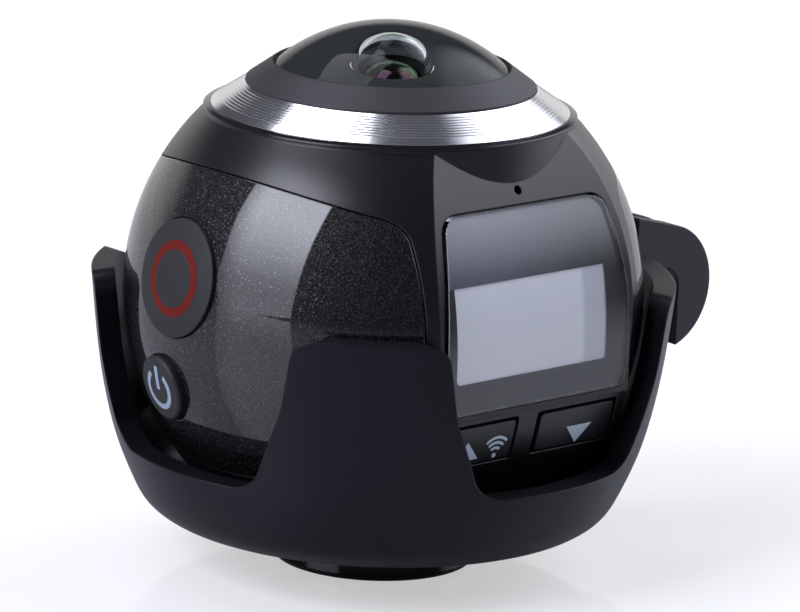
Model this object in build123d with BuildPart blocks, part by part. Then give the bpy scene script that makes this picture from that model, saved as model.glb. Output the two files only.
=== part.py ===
"""360 degree ball camera standing in its claw cradle, with a clamp screw as its foot.

Millimetres, +Z up, origin on the floor at the mouth of the foot's tripod thread.
The display looks along -Y, the record button along -X, the side mount stands out along +X.
"""
import os
from math import asin, cos, degrees, radians, sin, sqrt

from build123d import *

os.makedirs("parts", exist_ok=True)

# Driving dimensions: the ball and the way it is divided
ball_radius = 30.5
base_flat_step = 10.7
shell_wall = 1.8
parting_drop = 8.1
neck_rise = 21.7
neck_step = 8.8
facet_radius = 39.4
facet_depth = 3.8
facet_axis_drop = 1.8
fairing_half_width = 14.6
fairing_low_drop = 16.6
fairing_high_rise = 5.2

# Foot, clamp screw and cradle
foot_radius = 12.4
foot_height = 5.6
foot_edge = 0.7
cradle_floor = 2.6
cradle_rim_step = 3.7
cradle_height = 28.3
cradle_wall = 2.7
stud_radius = 3.1

# Common clearances
running_gap = 0.1
fit_gap = 0.05
seam_gap = 0.15
camera_gap = 0.3
overrun = 2.0

# Heights worked out from the driving dimensions
base_flat_radius = ball_radius - base_flat_step
neck_radius = ball_radius - neck_step
cradle_rim_radius = ball_radius + cradle_rim_step
cradle_low = foot_height + running_gap
cradle_floor_top = cradle_low + cradle_floor
cradle_top = cradle_low + cradle_height
base_z = cradle_floor_top + camera_gap
ball_z = base_z + sqrt(ball_radius**2 - base_flat_radius**2)
parting_z = ball_z - parting_drop
neck_top = ball_z + neck_rise
facet_z = ball_z - facet_axis_drop
facet_reach = ball_radius - facet_depth
facet_back = facet_radius - facet_reach
cavity_radius = ball_radius - shell_wall
far = 2 * ball_radius


def turned(*profiles):
    """Rings and other turned pieces: closed outlines of (radius, height) spun about Z."""
    with BuildPart() as piece:
        for profile in profiles:
            with BuildSketch(Plane.XZ):
                with BuildLine():
                    Polyline(*profile, close=True)
                make_face()
            revolve(axis=Axis.Z)
    return piece.part


def column(x, y, low, high, radius):
    """An upright round post or pin."""
    with BuildPart() as piece:
        with BuildSketch(Plane.XY.offset(low)):
            with Locations((x, y)):
                Circle(radius)
        extrude(amount=high - low)
    return piece.part


def columns(places, low, high, radius):
    """Equal upright posts, one at each place."""
    with BuildPart() as piece:
        with BuildSketch(Plane.XY.offset(low)):
            with Locations(*places):
                Circle(radius)
        extrude(amount=high - low)
    return piece.part


def slab(low_corner, high_corner):
    """A rectangular block between two opposite corners."""
    size = [high - low for low, high in zip(low_corner, high_corner)]
    middle = [(high + low) / 2 for low, high in zip(low_corner, high_corner)]
    with BuildPart() as piece:
        with Locations(tuple(middle)):
            Box(*size)
    return piece.part


def ball(inset):
    """A sphere about the ball's centre, inset from the camera's skin."""
    with BuildPart() as piece:
        with Locations((0, 0, ball_z)):
            Sphere(ball_radius - inset)
    return piece.part


def facet_y(height, inset=0.0):
    """Distance of the front or rear facet from the middle plane at a height."""
    rise = height - facet_z
    return sqrt((facet_radius - inset) ** 2 - rise**2) - facet_back


def facet_plane(height, inset):
    """Plane touching the front facet at a height, moved inward; local Z looks outward."""
    angle = asin((height - facet_z) / facet_radius)
    reach = facet_radius - inset
    place = (0, facet_back - reach * cos(angle), facet_z + reach * sin(angle))
    return Plane(origin=place, x_dir=(1, 0, 0), z_dir=(0, -cos(angle), sin(angle)))


def upper_form(inset, low, high):
    """Faceted upper half of the camera: upright facets that curve inward above their axis."""
    reach = facet_reach - inset
    radius = facet_radius - inset
    sweep = degrees(asin((high - facet_z) / radius))
    with BuildPart() as piece:
        add(ball(inset))
        half = fairing_half_width - inset
        add(slab((-half, -far, low), (half, far, ball_z + fairing_high_rise)))
        with BuildSketch(Plane.YZ):
            with BuildLine():
                front = CenterArc((facet_back, facet_z), radius, 180 - sweep, sweep)
                rear = CenterArc((-facet_back, facet_z), radius, 0, sweep)
                Polyline(front @ 1, (-reach, low), (reach, low), rear @ 0)
                Line(rear @ 1, front @ 0)
            make_face()
        extrude(amount=far, both=True, mode=Mode.INTERSECT)
    return piece.part


def lower_form(inset, low, high):
    """Faceted lower half: the same facets, curving inward below their axis."""
    radius = facet_radius - inset
    start = degrees(asin((facet_z - high) / radius))
    sweep = degrees(asin((facet_z - low) / radius)) - start
    with BuildPart() as piece:
        add(ball(inset))
        half = fairing_half_width - inset
        add(slab((-half, -far, ball_z - fairing_low_drop + inset), (half, far, high)))
        with BuildSketch(Plane.YZ):
            with BuildLine():
                front = CenterArc((facet_back, facet_z), radius, 180 + start, sweep)
                rear = CenterArc((-facet_back, facet_z), radius, -start - sweep, sweep)
                Line(front @ 1, rear @ 0)
                Line(rear @ 1, front @ 0)
            make_face()
        extrude(amount=far, both=True, mode=Mode.INTERSECT)
    return piece.part


def facet_skin(outer, inner, side=-1, straight=True):
    """Sheet that follows the front (side -1) or rear (side 1) facet between two insets."""
    sweep = 60
    start = 0 if straight else -sweep
    low = parting_z - overrun
    reach = facet_reach
    with BuildPart() as piece:
        with BuildSketch(Plane.YZ):
            with BuildLine():
                skin = CenterArc((-facet_back, facet_z), facet_radius - outer, start, sweep - start)
                back = CenterArc((-facet_back, facet_z), facet_radius - inner, start, sweep - start)
                Line(skin @ 1, back @ 1)
                if straight:
                    Polyline(skin @ 0, (reach - outer, low), (reach - inner, low), back @ 0)
                else:
                    Line(skin @ 0, back @ 0)
            make_face()
        extrude(amount=far, both=True)
    return piece.part if side > 0 else piece.part.mirror(Plane.XZ)


# Foot: a glossy moulded knob on a steel clamp stud
# The stud's foot holds a female tripod thread, so the camera can stand on a tripod in its cradle.
core_radius = 4.5
socket_radius = 2.6
socket_depth = 4.4
stud_reach = 4.2
clip_groove_radius = 2.6
clip_radius = 5.2
clip_thickness = 0.5
clip_recess_radius = 6.0
clip_recess_depth = 1.2
clip_opening_half = 2.2

with BuildPart() as foot_knob:
    add(turned([(core_radius, 0), (foot_radius - foot_edge, 0), (foot_radius, foot_edge),
                (foot_radius, foot_height - foot_edge), (foot_radius - foot_edge, foot_height),
                (core_radius, foot_height)]))

clip_low = cradle_floor_top - clip_recess_depth + running_gap
clip_high = clip_low + clip_thickness
stud_top = base_z + stud_reach

with BuildPart() as clamp_stud:
    add(turned([(socket_radius, 0), (core_radius, 0), (core_radius, foot_height),
                (stud_radius, foot_height), (stud_radius, clip_low), (clip_groove_radius, clip_low),
                (clip_groove_radius, clip_high), (stud_radius, clip_high), (stud_radius, stud_top),
                (0, stud_top), (0, socket_depth), (socket_radius, socket_depth)]))

with BuildPart() as stud_clip:
    add(column(0, 0, clip_low, clip_high, clip_radius))
    add(column(0, 0, clip_low, clip_high, clip_groove_radius), mode=Mode.SUBTRACT)
    add(slab((0, -clip_opening_half, clip_low), (far, clip_opening_half, clip_high)),
        mode=Mode.SUBTRACT)

# Cradle: one moulded bowl whose wall rises into four claws between four windows
# Each pair is (share of the rim radius, share of the height).
cradle_profile_shares = [(0.7325, 0.0), (0.786, 0.035), (0.825, 0.092), (0.854, 0.163), (0.898, 0.293),
                         (0.939, 0.470), (0.9705, 0.682), (1.0, 1.0)]
window_rise = 9.15
window_mid_rise = 19.3
mount_window_rise = 9.7
window_corner = 4.9
mount_window_corner = 2.5
window_bend = 12.0
# Half widths of a window at its top, its middle and its floor, on each side of its middle plane
display_window_left = (16.6, 14.8, 10.4)
display_window_right = (18.8, 17.7, 12.8)
record_window_front = (17.8, 15.9, 11.3)
record_window_rear = (17.6, 16.5, 12.6)
rear_window_side = (17.1, 16.2, 12.4)
mount_window_side = (8.3, 8.0, 7.6)
claw_corner = 2.6


def cradle_outline(radius, low, high):
    """Half outline of the bowl, from its axis along the floor and up to the rim."""
    points = [(radius * share, low + (high - low) * rise) for share, rise in cradle_profile_shares]
    with BuildPart() as piece:
        with BuildSketch(Plane.XZ):
            with BuildLine():
                wall = Spline(*points, tangents=((1, 0), (0.1, 1)), tangent_scalars=(0.5, 1.0))
                Polyline(wall @ 1, (0, high), (0, low), wall @ 0)
            make_face()
        revolve(axis=Axis.Z)
    return piece.part


cradle_body = cradle_outline(cradle_rim_radius, cradle_low, cradle_top)
cradle_hollow = cradle_outline(cradle_rim_radius - cradle_wall, cradle_floor_top, cradle_top)


def window_block(plane, reach, rise, corner, low_side, high_side):
    """Block that cuts one window, from the cradle's middle plane out to one side."""
    low_top, low_mid, low_floor = low_side
    high_top, high_mid, high_floor = high_side
    floor_z = cradle_low + rise
    mid_z = cradle_low + window_mid_rise
    with BuildPart() as piece:
        with BuildSketch(plane) as window:
            with BuildLine():
                Polyline((-low_top, cradle_top), (-low_mid, mid_z), (-low_floor, floor_z),
                         (high_floor, floor_z), (high_mid, mid_z), (high_top, cradle_top), close=True)
            make_face()
            fillet(window.vertices().group_by(Axis.Y)[0], corner)
            fillet(window.vertices().group_by(Axis.Y)[-2], window_bend)
        extrude(amount=reach)
    return piece.part


with BuildPart() as cradle:
    add(cradle_body)
    add(cradle_hollow, mode=Mode.SUBTRACT)
    add(window_block(Plane.XZ, far, window_rise, window_corner, display_window_left, display_window_right),
        mode=Mode.SUBTRACT)
    add(window_block(Plane.XZ, -far, window_rise, window_corner, rear_window_side, rear_window_side),
        mode=Mode.SUBTRACT)
    add(window_block(Plane.YZ, -far, window_rise, window_corner, record_window_front, record_window_rear),
        mode=Mode.SUBTRACT)
    add(window_block(Plane.YZ, far, mount_window_rise, mount_window_corner, mount_window_side,
                     mount_window_side), mode=Mode.SUBTRACT)
    fillet(cradle.edges().group_by(Axis.Z)[-1].filter_by(GeomType.LINE), claw_corner)
    fairing_room = (fairing_half_width + seam_gap, facet_reach + seam_gap)
    add(slab((-fairing_room[0], -fairing_room[1], parting_z - seam_gap), (*fairing_room, cradle_top)),
        mode=Mode.SUBTRACT)
    add(column(0, 0, cradle_low, cradle_floor_top, stud_radius + running_gap), mode=Mode.SUBTRACT)
    add(column(0, 0, cradle_floor_top - clip_recess_depth, cradle_floor_top, clip_recess_radius),
        mode=Mode.SUBTRACT)

# Side mount: two standard fingers on an arm screwed to the bowl in its +X window
# Each finger has a cross hole and an open slot below it, so it can also hook over a pin.
finger_end_step = 7.35
finger_end_z = 27.5
finger_radius = 7.85
finger_hole_radius = 2.55
finger_thickness = 3.0
finger_gap = 3.2
finger_top_rise = 9.3
finger_leg = 2.15
arm_inner_step = 4.7
arm_low_z = 11.2
arm_thickness = 3.4
mount_screw_radius = 1.0
mount_screw_head_radius = 1.9
mount_screw_head = 1.3
mount_screw_spacing = 5.2
mount_screw_z = 13.4
pilot_gap = 0.02

finger_outer = finger_gap / 2 + finger_thickness
window_z = cradle_low + mount_window_rise
finger_end_x = cradle_rim_radius + finger_end_step
arm_inner_x = cradle_rim_radius - arm_inner_step
leg_x = finger_end_x - finger_hole_radius - finger_leg
finger_low = finger_end_z - finger_radius
arm_outer_x = leg_x + finger_leg
mount_screw_places = [(-mount_screw_spacing / 2, mount_screw_z), (mount_screw_spacing / 2, mount_screw_z)]


def bolts_along_x(start, end, radius):
    """Two equal round bars along X, at the side mount's screws."""
    with BuildPart() as piece:
        with BuildSketch(Plane.YZ.offset(start)):
            with Locations(*mount_screw_places):
                Circle(radius)
        extrude(amount=end - start)
    return piece.part


head_seat_x = cradle_rim_radius
mount_pilots = bolts_along_x(cradle_rim_radius - 2 * cradle_wall, head_seat_x, mount_screw_radius + pilot_gap)

with BuildPart() as side_mount:
    with BuildSketch(Plane.XZ.offset(-finger_outer)):
        with BuildLine():
            end = CenterArc((finger_end_x, finger_end_z), finger_radius, -90, 168)
            Polyline(end @ 1, (leg_x, finger_end_z + finger_top_rise), (leg_x, window_z + 2 * arm_thickness),
                     (arm_inner_x + arm_thickness, window_z + arm_thickness), (arm_inner_x, window_z),
                     (arm_inner_x, arm_low_z), (arm_outer_x - arm_thickness, arm_low_z),
                     (arm_outer_x, window_z), (arm_outer_x, finger_low), end @ 0)
        make_face()
    extrude(amount=2 * finger_outer)
    gap_low = finger_low - seam_gap
    add(slab((arm_inner_x + arm_thickness, -finger_gap / 2, gap_low), (far, finger_gap / 2, far)),
        mode=Mode.SUBTRACT)
    with BuildSketch(Plane.XZ.offset(-finger_outer - overrun)):
        with Locations((finger_end_x, finger_end_z)):
            Circle(finger_hole_radius)
        with Locations((finger_end_x, finger_end_z - finger_radius)):
            Rectangle(2 * finger_hole_radius, 2 * finger_radius)
    extrude(amount=2 * (finger_outer + overrun), mode=Mode.SUBTRACT)
    add(cradle_outline(cradle_rim_radius + fit_gap, cradle_low, cradle_top)
        & slab((0, -far, cradle_low), (far, far, window_z)), mode=Mode.SUBTRACT)
    add(mount_pilots, mode=Mode.SUBTRACT)
    add(bolts_along_x(head_seat_x - mount_screw_head, far, mount_screw_head_radius + seam_gap),
        mode=Mode.SUBTRACT)

with BuildPart() as side_mount_screws:
    add(bolts_along_x(cradle_rim_radius - 2 * cradle_wall, head_seat_x - mount_screw_head, mount_screw_radius))
    add(bolts_along_x(head_seat_x - mount_screw_head, head_seat_x, mount_screw_head_radius))

with BuildPart() as cradle_drilled:
    add(cradle.part)
    add(mount_pilots, mode=Mode.SUBTRACT)

# Lens stack: rim ring, spun silver ring and black bezel, stacked on the deck and drawn down by a nut
# Heights are rises above the top of the neck.
rim_radius = 21.75
rim_thickness = 0.3
rim_side = 0.25
rim_lip = 0.55
trim_radius = 20.9
trim_edge = 0.58
trim_rise = 3.2
trim_step_rise = 1.9
bezel_tube_radius = 14.5
bezel_shoulder = 2.4
bezel_nut_width = 2.1
ring_gap = 0.2
bezel_bore = 12.0
bezel_wall_rise = 3.45
bezel_rise = 5.66
bezel_drop = 4.9
bezel_nut_thickness = 1.6
dome_radius = 13.8
dome_curve = 20.7
dome_rise = 10.45
dome_seat_rise = 3.3
dome_thickness = 2.8
dome_cavity_curve = 4.2
seal_thickness = 0.6
seal_width = 1.2


def from_neck(*points):
    """Points given as (radius, rise above the neck), as points in the model."""
    return [(radius, neck_top + rise) for radius, rise in points]


bezel_radius = bezel_tube_radius + bezel_shoulder
bezel_nut_radius = bezel_tube_radius + bezel_nut_width
ring_bore = bezel_tube_radius + ring_gap
rim_bore = trim_radius + fit_gap
with BuildPart() as rim_ring:
    add(turned(from_neck((ring_bore, 0), (rim_radius, 0), (rim_radius, rim_side), (rim_bore, rim_lip),
                         (rim_bore, rim_thickness), (ring_bore, rim_thickness))))

with BuildPart() as trim_ring:
    add(turned(from_neck((ring_bore, rim_thickness), (trim_radius, rim_thickness), (trim_radius, trim_edge),
                         (bezel_radius + fit_gap, trim_rise), (bezel_radius + fit_gap, trim_step_rise),
                         (ring_bore, trim_step_rise))))

dome_bore = dome_radius + fit_gap
ledge_rise = dome_seat_rise - seal_thickness
with BuildPart() as lens_bezel:
    add(turned(from_neck((bezel_bore, -bezel_drop), (bezel_tube_radius, -bezel_drop),
                         (bezel_tube_radius, trim_step_rise), (bezel_radius, trim_step_rise),
                         (bezel_radius, bezel_wall_rise), (dome_bore, bezel_rise), (dome_bore, ledge_rise),
                         (bezel_bore, ledge_rise))))

deck_low = neck_top - shell_wall
with BuildPart() as bezel_nut:
    add(turned([(bezel_tube_radius + fit_gap, deck_low - bezel_nut_thickness),
                (bezel_nut_radius, deck_low - bezel_nut_thickness), (bezel_nut_radius, deck_low),
                (bezel_tube_radius + fit_gap, deck_low)]))

with BuildPart() as dome_seal:
    add(turned(from_neck((dome_radius - seal_width, ledge_rise), (dome_radius, ledge_rise),
                         (dome_radius, dome_seat_rise), (dome_radius - seal_width, dome_seat_rise))))

dome_apex = neck_top + dome_rise
dome_centre = dome_apex - dome_curve
cavity_centre = dome_apex - dome_thickness - dome_cavity_curve
with BuildPart() as dome_lens:
    with Locations((0, 0, dome_centre)):
        Sphere(dome_curve)
    add(column(0, 0, neck_top + dome_seat_rise, dome_apex, dome_radius), mode=Mode.INTERSECT)
    with Locations((0, 0, cavity_centre)):
        Sphere(dome_cavity_curve, mode=Mode.SUBTRACT)

# Lens barrel and the glasses in it, from the second lens down to the sensor's filter
barrel_radius = 11.9
barrel_top_rise = 3.1
barrel_step_drop = 5.7
barrel_foot_radius = 9.5
barrel_length = 20.4
barrel_mouth_radius = 7.6
second_radius = 5.85
second_seat_depth = 4.2
second_edge = 2.0
second_cap_radius = 4.9
second_curve = 5.6
second_hollow_curve = 5.0
second_hollow_depth = 1.4
retainer_thickness = 0.8
third_radius = 4.85
third_seat_depth = 9.0
third_edge = 1.8
third_curve = 9.5
rear_radius = 4.05
rear_seat_depth = 14.6
rear_length = 4.4
rear_stop_radius = 3.4
sensor_cavity_depth = 4.0
sensor_cavity_radius = 6.5
filter_size = 7.4
filter_thickness = 0.4

barrel_top = neck_top + barrel_top_rise
sensor_board_top = barrel_top - barrel_length
second_low = barrel_top - second_seat_depth
second_high = second_low + second_edge
third_low = barrel_top - third_seat_depth
rear_low = barrel_top - rear_seat_depth
sensor_roof = sensor_board_top + sensor_cavity_depth
with BuildPart() as lens_barrel:
    add(turned([(barrel_mouth_radius, barrel_top), (second_radius + fit_gap, second_high + retainer_thickness),
                (second_radius + fit_gap, second_low), (third_radius + fit_gap, second_low),
                (third_radius + fit_gap, third_low), (rear_radius + fit_gap, third_low),
                (rear_radius + fit_gap, rear_low), (rear_stop_radius, rear_low),
                (rear_stop_radius, sensor_roof), (sensor_cavity_radius, sensor_roof),
                (sensor_cavity_radius, sensor_board_top), (barrel_foot_radius, sensor_board_top),
                (barrel_foot_radius, neck_top - barrel_step_drop), (barrel_radius, neck_top - barrel_step_drop),
                (barrel_radius, barrel_top)]))

with BuildPart() as second_lens:
    second_centre = second_high - sqrt(second_curve**2 - second_cap_radius**2)
    with Locations((0, 0, second_centre)):
        Sphere(second_curve)
    add(column(0, 0, second_high, barrel_top + second_curve, second_cap_radius), mode=Mode.INTERSECT)
    add(column(0, 0, second_low, second_high, second_radius))
    with Locations((0, 0, second_low + second_hollow_depth - second_hollow_curve)):
        Sphere(second_hollow_curve, mode=Mode.SUBTRACT)

with BuildPart() as lens_retainer:
    add(turned([(second_cap_radius + fit_gap, second_high), (second_radius, second_high),
                (second_radius, second_high + retainer_thickness),
                (second_cap_radius + fit_gap, second_high + retainer_thickness)]))

with BuildPart() as third_lens:
    third_sag = sqrt(third_curve**2 - third_radius**2)
    with Locations((0, 0, third_low + third_edge - third_sag)):
        Sphere(third_curve)
    add(column(0, 0, third_low, barrel_top, third_radius), mode=Mode.INTERSECT)

with BuildPart() as rear_lens_group:
    add(column(0, 0, rear_low, rear_low + rear_length, rear_radius))

with BuildPart() as infrared_filter:
    half = filter_size / 2
    add(slab((-half, -half, sensor_roof - filter_thickness), (half, half, sensor_roof)))

# Sensor board, hung from four posts under the deck
board_thickness = 1.0
sensor_board_half = 15.6
board_corner = 2.5
post_place = 13.2
post_radius = 1.6
small_screw_radius = 0.8
small_screw_head_radius = 1.4
small_screw_head = 1.0
small_screw_reach = 4.0
sensor_width = 8.2
sensor_depth = 7.4
sensor_height = 1.0

post_places = [(x, y) for x in (-post_place, post_place) for y in (-post_place, post_place)]
sensor_board_low = sensor_board_top - board_thickness
with BuildPart() as sensor_board:
    with BuildSketch(Plane.XY.offset(sensor_board_low)):
        RectangleRounded(2 * sensor_board_half, 2 * sensor_board_half, board_corner)
        with Locations(*post_places):
            Circle(small_screw_radius + running_gap, mode=Mode.SUBTRACT)
    extrude(amount=board_thickness)

with BuildPart() as sensor_screws:
    add(columns(post_places, sensor_board_low, sensor_board_top + small_screw_reach, small_screw_radius))
    add(columns(post_places, sensor_board_low - small_screw_head, sensor_board_low, small_screw_head_radius))

with BuildPart() as image_sensor:
    add(slab((-sensor_width / 2, -sensor_depth / 2, sensor_board_top),
             (sensor_width / 2, sensor_depth / 2, sensor_board_top + sensor_height)))

# Display: a clear window let into the front facet, over a small liquid crystal panel
window_base_rise = 0.9
window_height = 22.1
display_low_half = 13.9
display_mid_half = 13.95
display_top_half = 12.2
display_mid_share = 0.47
display_top_corner = 2.3
display_low_corner = 1.3
display_proud = 0.4
display_inset = 0.5
display_seam = 0.25
lcd_rise = 2.35
lcd_inset = 2.05
lcd_width = 27.0
lcd_height = 15.6
lcd_thickness = 1.8
lcd_opening_width = 24.4
lcd_opening_height = 12.2
lcd_frame_rim = 0.6
lcd_frame_thickness = 0.9
lcd_ear_place = 15.0
lcd_ear_height = 4.4
lcd_boss_radius = 1.5
lcd_boss_reach = 3.0
lcd_screw_reach = 1.8

window_low = parting_z + window_base_rise


def display_outline(gap):
    """Block through the front facet with the outline of the display window."""
    low = window_low - gap
    high = window_low + window_height + gap
    middle = window_low + window_height * display_mid_share
    with BuildPart() as piece:
        with BuildSketch(Plane.XZ) as outline:
            with BuildLine():
                left = ThreePointArc((-display_low_half - gap, low), (-display_mid_half - gap, middle),
                                     (-display_top_half - gap, high))
                right = ThreePointArc((display_top_half + gap, high), (display_mid_half + gap, middle),
                                      (display_low_half + gap, low))
                Line(left @ 1, right @ 0)
                Line(right @ 1, left @ 0)
            make_face()
            fillet(outline.vertices().group_by(Axis.Y)[-1], display_top_corner + gap)
            fillet(outline.vertices().group_by(Axis.Y)[0], display_low_corner + gap)
        extrude(amount=far)
    return piece.part


with BuildPart() as display_window:
    add(facet_skin(-display_proud, display_inset))
    add(display_outline(0), mode=Mode.INTERSECT)

lcd_plane = facet_plane(ball_z + lcd_rise, lcd_inset)


def lcd_block(width, height, start, depth, corner=0.0):
    """Rectangular block square to the display, from a start behind it to a depth behind that."""
    with BuildPart() as piece:
        with BuildSketch(lcd_plane.offset(-start)):
            if corner:
                RectangleRounded(width, height, corner)
            else:
                Rectangle(width, height)
        extrude(amount=-depth)
    return piece.part


def lcd_bars(start, depth, radius):
    """Two round bars square to the display, at the ears of its frame."""
    with BuildPart() as piece:
        with BuildSketch(lcd_plane.offset(-start)):
            with Locations((-lcd_ear_place, 0), (lcd_ear_place, 0)):
                Circle(radius)
        extrude(amount=-depth)
    return piece.part


with BuildPart() as lcd_panel:
    add(lcd_block(lcd_width, lcd_height, 0, lcd_thickness))

frame_back = lcd_thickness + lcd_frame_thickness
with BuildPart() as lcd_frame:
    add(lcd_block(lcd_width + 2 * lcd_frame_rim, lcd_height + 2 * lcd_frame_rim, lcd_thickness,
                  lcd_frame_thickness, board_corner / 2))
    add(lcd_block(2 * (lcd_ear_place + lcd_boss_radius), lcd_ear_height, lcd_thickness,
                  lcd_frame_thickness, board_corner / 2))
    add(lcd_bars(lcd_thickness, lcd_frame_thickness, small_screw_radius + running_gap), mode=Mode.SUBTRACT)

with BuildPart() as lcd_frame_screws:
    add(lcd_bars(lcd_thickness - lcd_screw_reach, lcd_screw_reach + lcd_frame_thickness,
                 small_screw_radius))
    add(lcd_bars(frame_back, small_screw_head, small_screw_head_radius))

# Side panels: two glossy caps let into the sides of the ball
panel_thickness = 1.2
panel_half_depth = 21.3
panel_corner_rise = 14.4
panel_middle_rise = 17.4
panel_circle = 25.7
panel_corner = 5.0
panel_inner_x = 9.0


def panel_outline(gap, side):
    """Block through one side of the ball with the outline of its side panel."""
    half = panel_half_depth
    with BuildPart() as piece:
        with BuildSketch(Plane.YZ.offset(side * panel_inner_x)) as outline:
            with BuildLine():
                ThreePointArc((-half, ball_z + panel_corner_rise), (0, ball_z + panel_middle_rise),
                              (half, ball_z + panel_corner_rise))
                ThreePointArc((half, ball_z + panel_corner_rise), (panel_circle, ball_z),
                              (half, ball_z - panel_corner_rise))
                ThreePointArc((half, ball_z - panel_corner_rise), (0, ball_z - panel_middle_rise),
                              (-half, ball_z - panel_corner_rise))
                ThreePointArc((-half, ball_z - panel_corner_rise), (-panel_circle, ball_z),
                              (-half, ball_z + panel_corner_rise))
            make_face()
            fillet(outline.vertices(), panel_corner)
            offset(amount=gap)
        extrude(amount=side * far)
    return piece.part


def side_panel(side):
    """One side panel: the sheet of the ball's skin within its outline."""
    with BuildPart() as piece:
        add(ball(0))
        add(panel_outline(-seam_gap / 2, side), mode=Mode.INTERSECT)
        add(ball(panel_thickness), mode=Mode.SUBTRACT)
    return piece.part


def side_bar(y, z, radius, start):
    """Round bar along -X through the record side of the ball."""
    with BuildPart() as piece:
        with BuildSketch(Plane.YZ.offset(-start)):
            with Locations((y, z)):
                Circle(radius)
        extrude(amount=-far)
    return piece.part


# Record and power buttons on the -X side, each with a flange that keeps it in
record_y = 2.2
record_rise = 5.2
record_radius = 6.7
record_proud = 0.45
record_flange = 0.9
record_travel = 0.5
ring_outer = 4.35
ring_inner = 3.3
ring_depth = 0.6
power_y = 4.3
power_rise = -8.2
power_radius = 3.85
power_proud = 1.0
power_edge = 0.45
flange_thickness = 0.7
light_y = 2.0
light_rise = 14.8
light_radius = 0.5
light_length = 2.6


def flange_x(y, rise, radius):
    """Distance from the middle plane at which a flange's outer face clears the curved wall."""
    return sqrt(cavity_radius**2 - (sqrt(y**2 + rise**2) + radius) ** 2) - seam_gap


record_flange_x = flange_x(record_y, record_rise, record_radius + record_flange)
power_flange_x = flange_x(power_y, power_rise, power_radius + record_flange)


def side_button(y, rise, radius, proud, flange):
    """Round button along X whose crown follows the ball, standing proud of it."""
    z = ball_z + rise
    with BuildPart() as piece:
        add(side_bar(y, z, radius, flange - flange_thickness))
        add(ball(-proud), mode=Mode.INTERSECT)
        with BuildSketch(Plane.YZ.offset(-flange)):
            with Locations((y, z)):
                Circle(radius + record_flange)
        extrude(amount=flange_thickness)
    return piece.part


def record_ring_form(gap):
    """Ring let into the record button's crown."""
    with BuildPart() as piece:
        add(side_bar(record_y, ball_z + record_rise, ring_outer + gap, record_flange_x))
        add(side_bar(record_y, ball_z + record_rise, ring_inner - gap, record_flange_x), mode=Mode.SUBTRACT)
        add(ball(-record_proud), mode=Mode.INTERSECT)
        add(ball(ring_depth - record_proud), mode=Mode.SUBTRACT)
    return piece.part


with BuildPart() as record_button:
    add(side_button(record_y, record_rise, record_radius, record_proud, record_flange_x))
    add(record_ring_form(0), mode=Mode.SUBTRACT)

with BuildPart() as record_light_ring:
    add(record_ring_form(0))

with BuildPart() as power_button:
    add(side_button(power_y, power_rise, power_radius, power_proud, power_flange_x))
    fillet(power_button.faces().filter_by(GeomType.SPHERE)[0].edges(), power_edge)

light_z = ball_z + light_rise
light_skin_x = sqrt(ball_radius**2 - light_y**2 - light_rise**2)
with BuildPart() as status_light_pipe:
    add(side_bar(light_y, light_z, light_radius, light_skin_x - light_length))
    add(ball(running_gap), mode=Mode.INTERSECT)

record_hole = side_bar(record_y, ball_z + record_rise, record_radius + seam_gap, panel_inner_x)
power_hole = side_bar(power_y, ball_z + power_rise, power_radius + seam_gap, panel_inner_x)
light_hole = side_bar(light_y, light_z, light_radius + pilot_gap, panel_inner_x)

with BuildPart() as record_side_panel:
    add(side_panel(-1))
    add(record_hole, mode=Mode.SUBTRACT)
    add(power_hole, mode=Mode.SUBTRACT)
    add(light_hole, mode=Mode.SUBTRACT)

with BuildPart() as plain_side_panel:
    add(side_panel(1))

# Up and down buttons under the display
key_inner = 1.95
key_outer = 13.4
key_top_drop = 1.2
key_height = 4.6
key_corner = 0.5
key_inset = 0.2
key_travel = 0.35
key_flange = 0.8
key_flange_rim = 0.9
key_top_gap = 0.5
key_groove = 0.9

key_high = parting_z - key_top_drop
key_low = key_high - key_height
key_middle = (key_inner + key_outer) / 2


def key_outline(side, gap, corner):
    """Block through the front facet with the outline of one key."""
    with BuildPart() as piece:
        with BuildSketch(Plane.XZ):
            with Locations((side * key_middle, (key_low + key_high) / 2)):
                RectangleRounded(key_outer - key_inner + 2 * gap, key_height + 2 * gap, corner)
        extrude(amount=far)
    return piece.part


def key_opening(side, inner_gap):
    """Block that opens the front facet for one key, with room above it and beside its inner end."""
    with BuildPart() as piece:
        with BuildSketch(Plane.XZ):
            with Locations((side * (key_inner + key_outer + seam_gap - inner_gap) / 2,
                            (key_low + key_high + key_top_gap - seam_gap) / 2)):
                RectangleRounded(key_outer - key_inner + seam_gap + inner_gap,
                                 key_height + seam_gap + key_top_gap, key_corner)
        extrude(amount=far)
    return piece.part


wall_back = shell_wall + seam_gap
key_back = wall_back + key_flange
inner_half = fairing_half_width - wall_back


def key_flange_form(side):
    """Flange that keeps a key in behind the wall."""
    with BuildPart() as piece:
        add(facet_skin(wall_back, key_back, straight=False))
        add(key_outline(side, key_flange_rim, key_corner), mode=Mode.INTERSECT)
        add(slab((-inner_half, -far, base_z), (inner_half, 0, parting_z)), mode=Mode.INTERSECT)
    return piece.part


def key(side):
    """One key: a cap that follows the facet, with its flange."""
    with BuildPart() as piece:
        add(facet_skin(key_inset, key_back, straight=False))
        add(key_outline(side, 0, key_corner), mode=Mode.INTERSECT)
        add(key_flange_form(side))
    return piece.part


with BuildPart() as up_button:
    add(key(-1))

with BuildPart() as down_button:
    add(key(1))

# Base plate with the brass tripod insert, let into the flat under the ball
plate_step = 2.8
plate_thickness = 1.4
ledge_width = 2.0
ledge_thickness = 1.6
plate_boss_radius = 6.4
plate_boss_height = 3.6
insert_radius = 4.2
insert_height = 4.6
plate_screw_inset = 1.0
plate_screw_reach = 2.4
plate_screw_head = 0.7
plate_screw_head_radius = 0.95
plate_screw_radius = 0.6
plate_screw_count = 4

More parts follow.
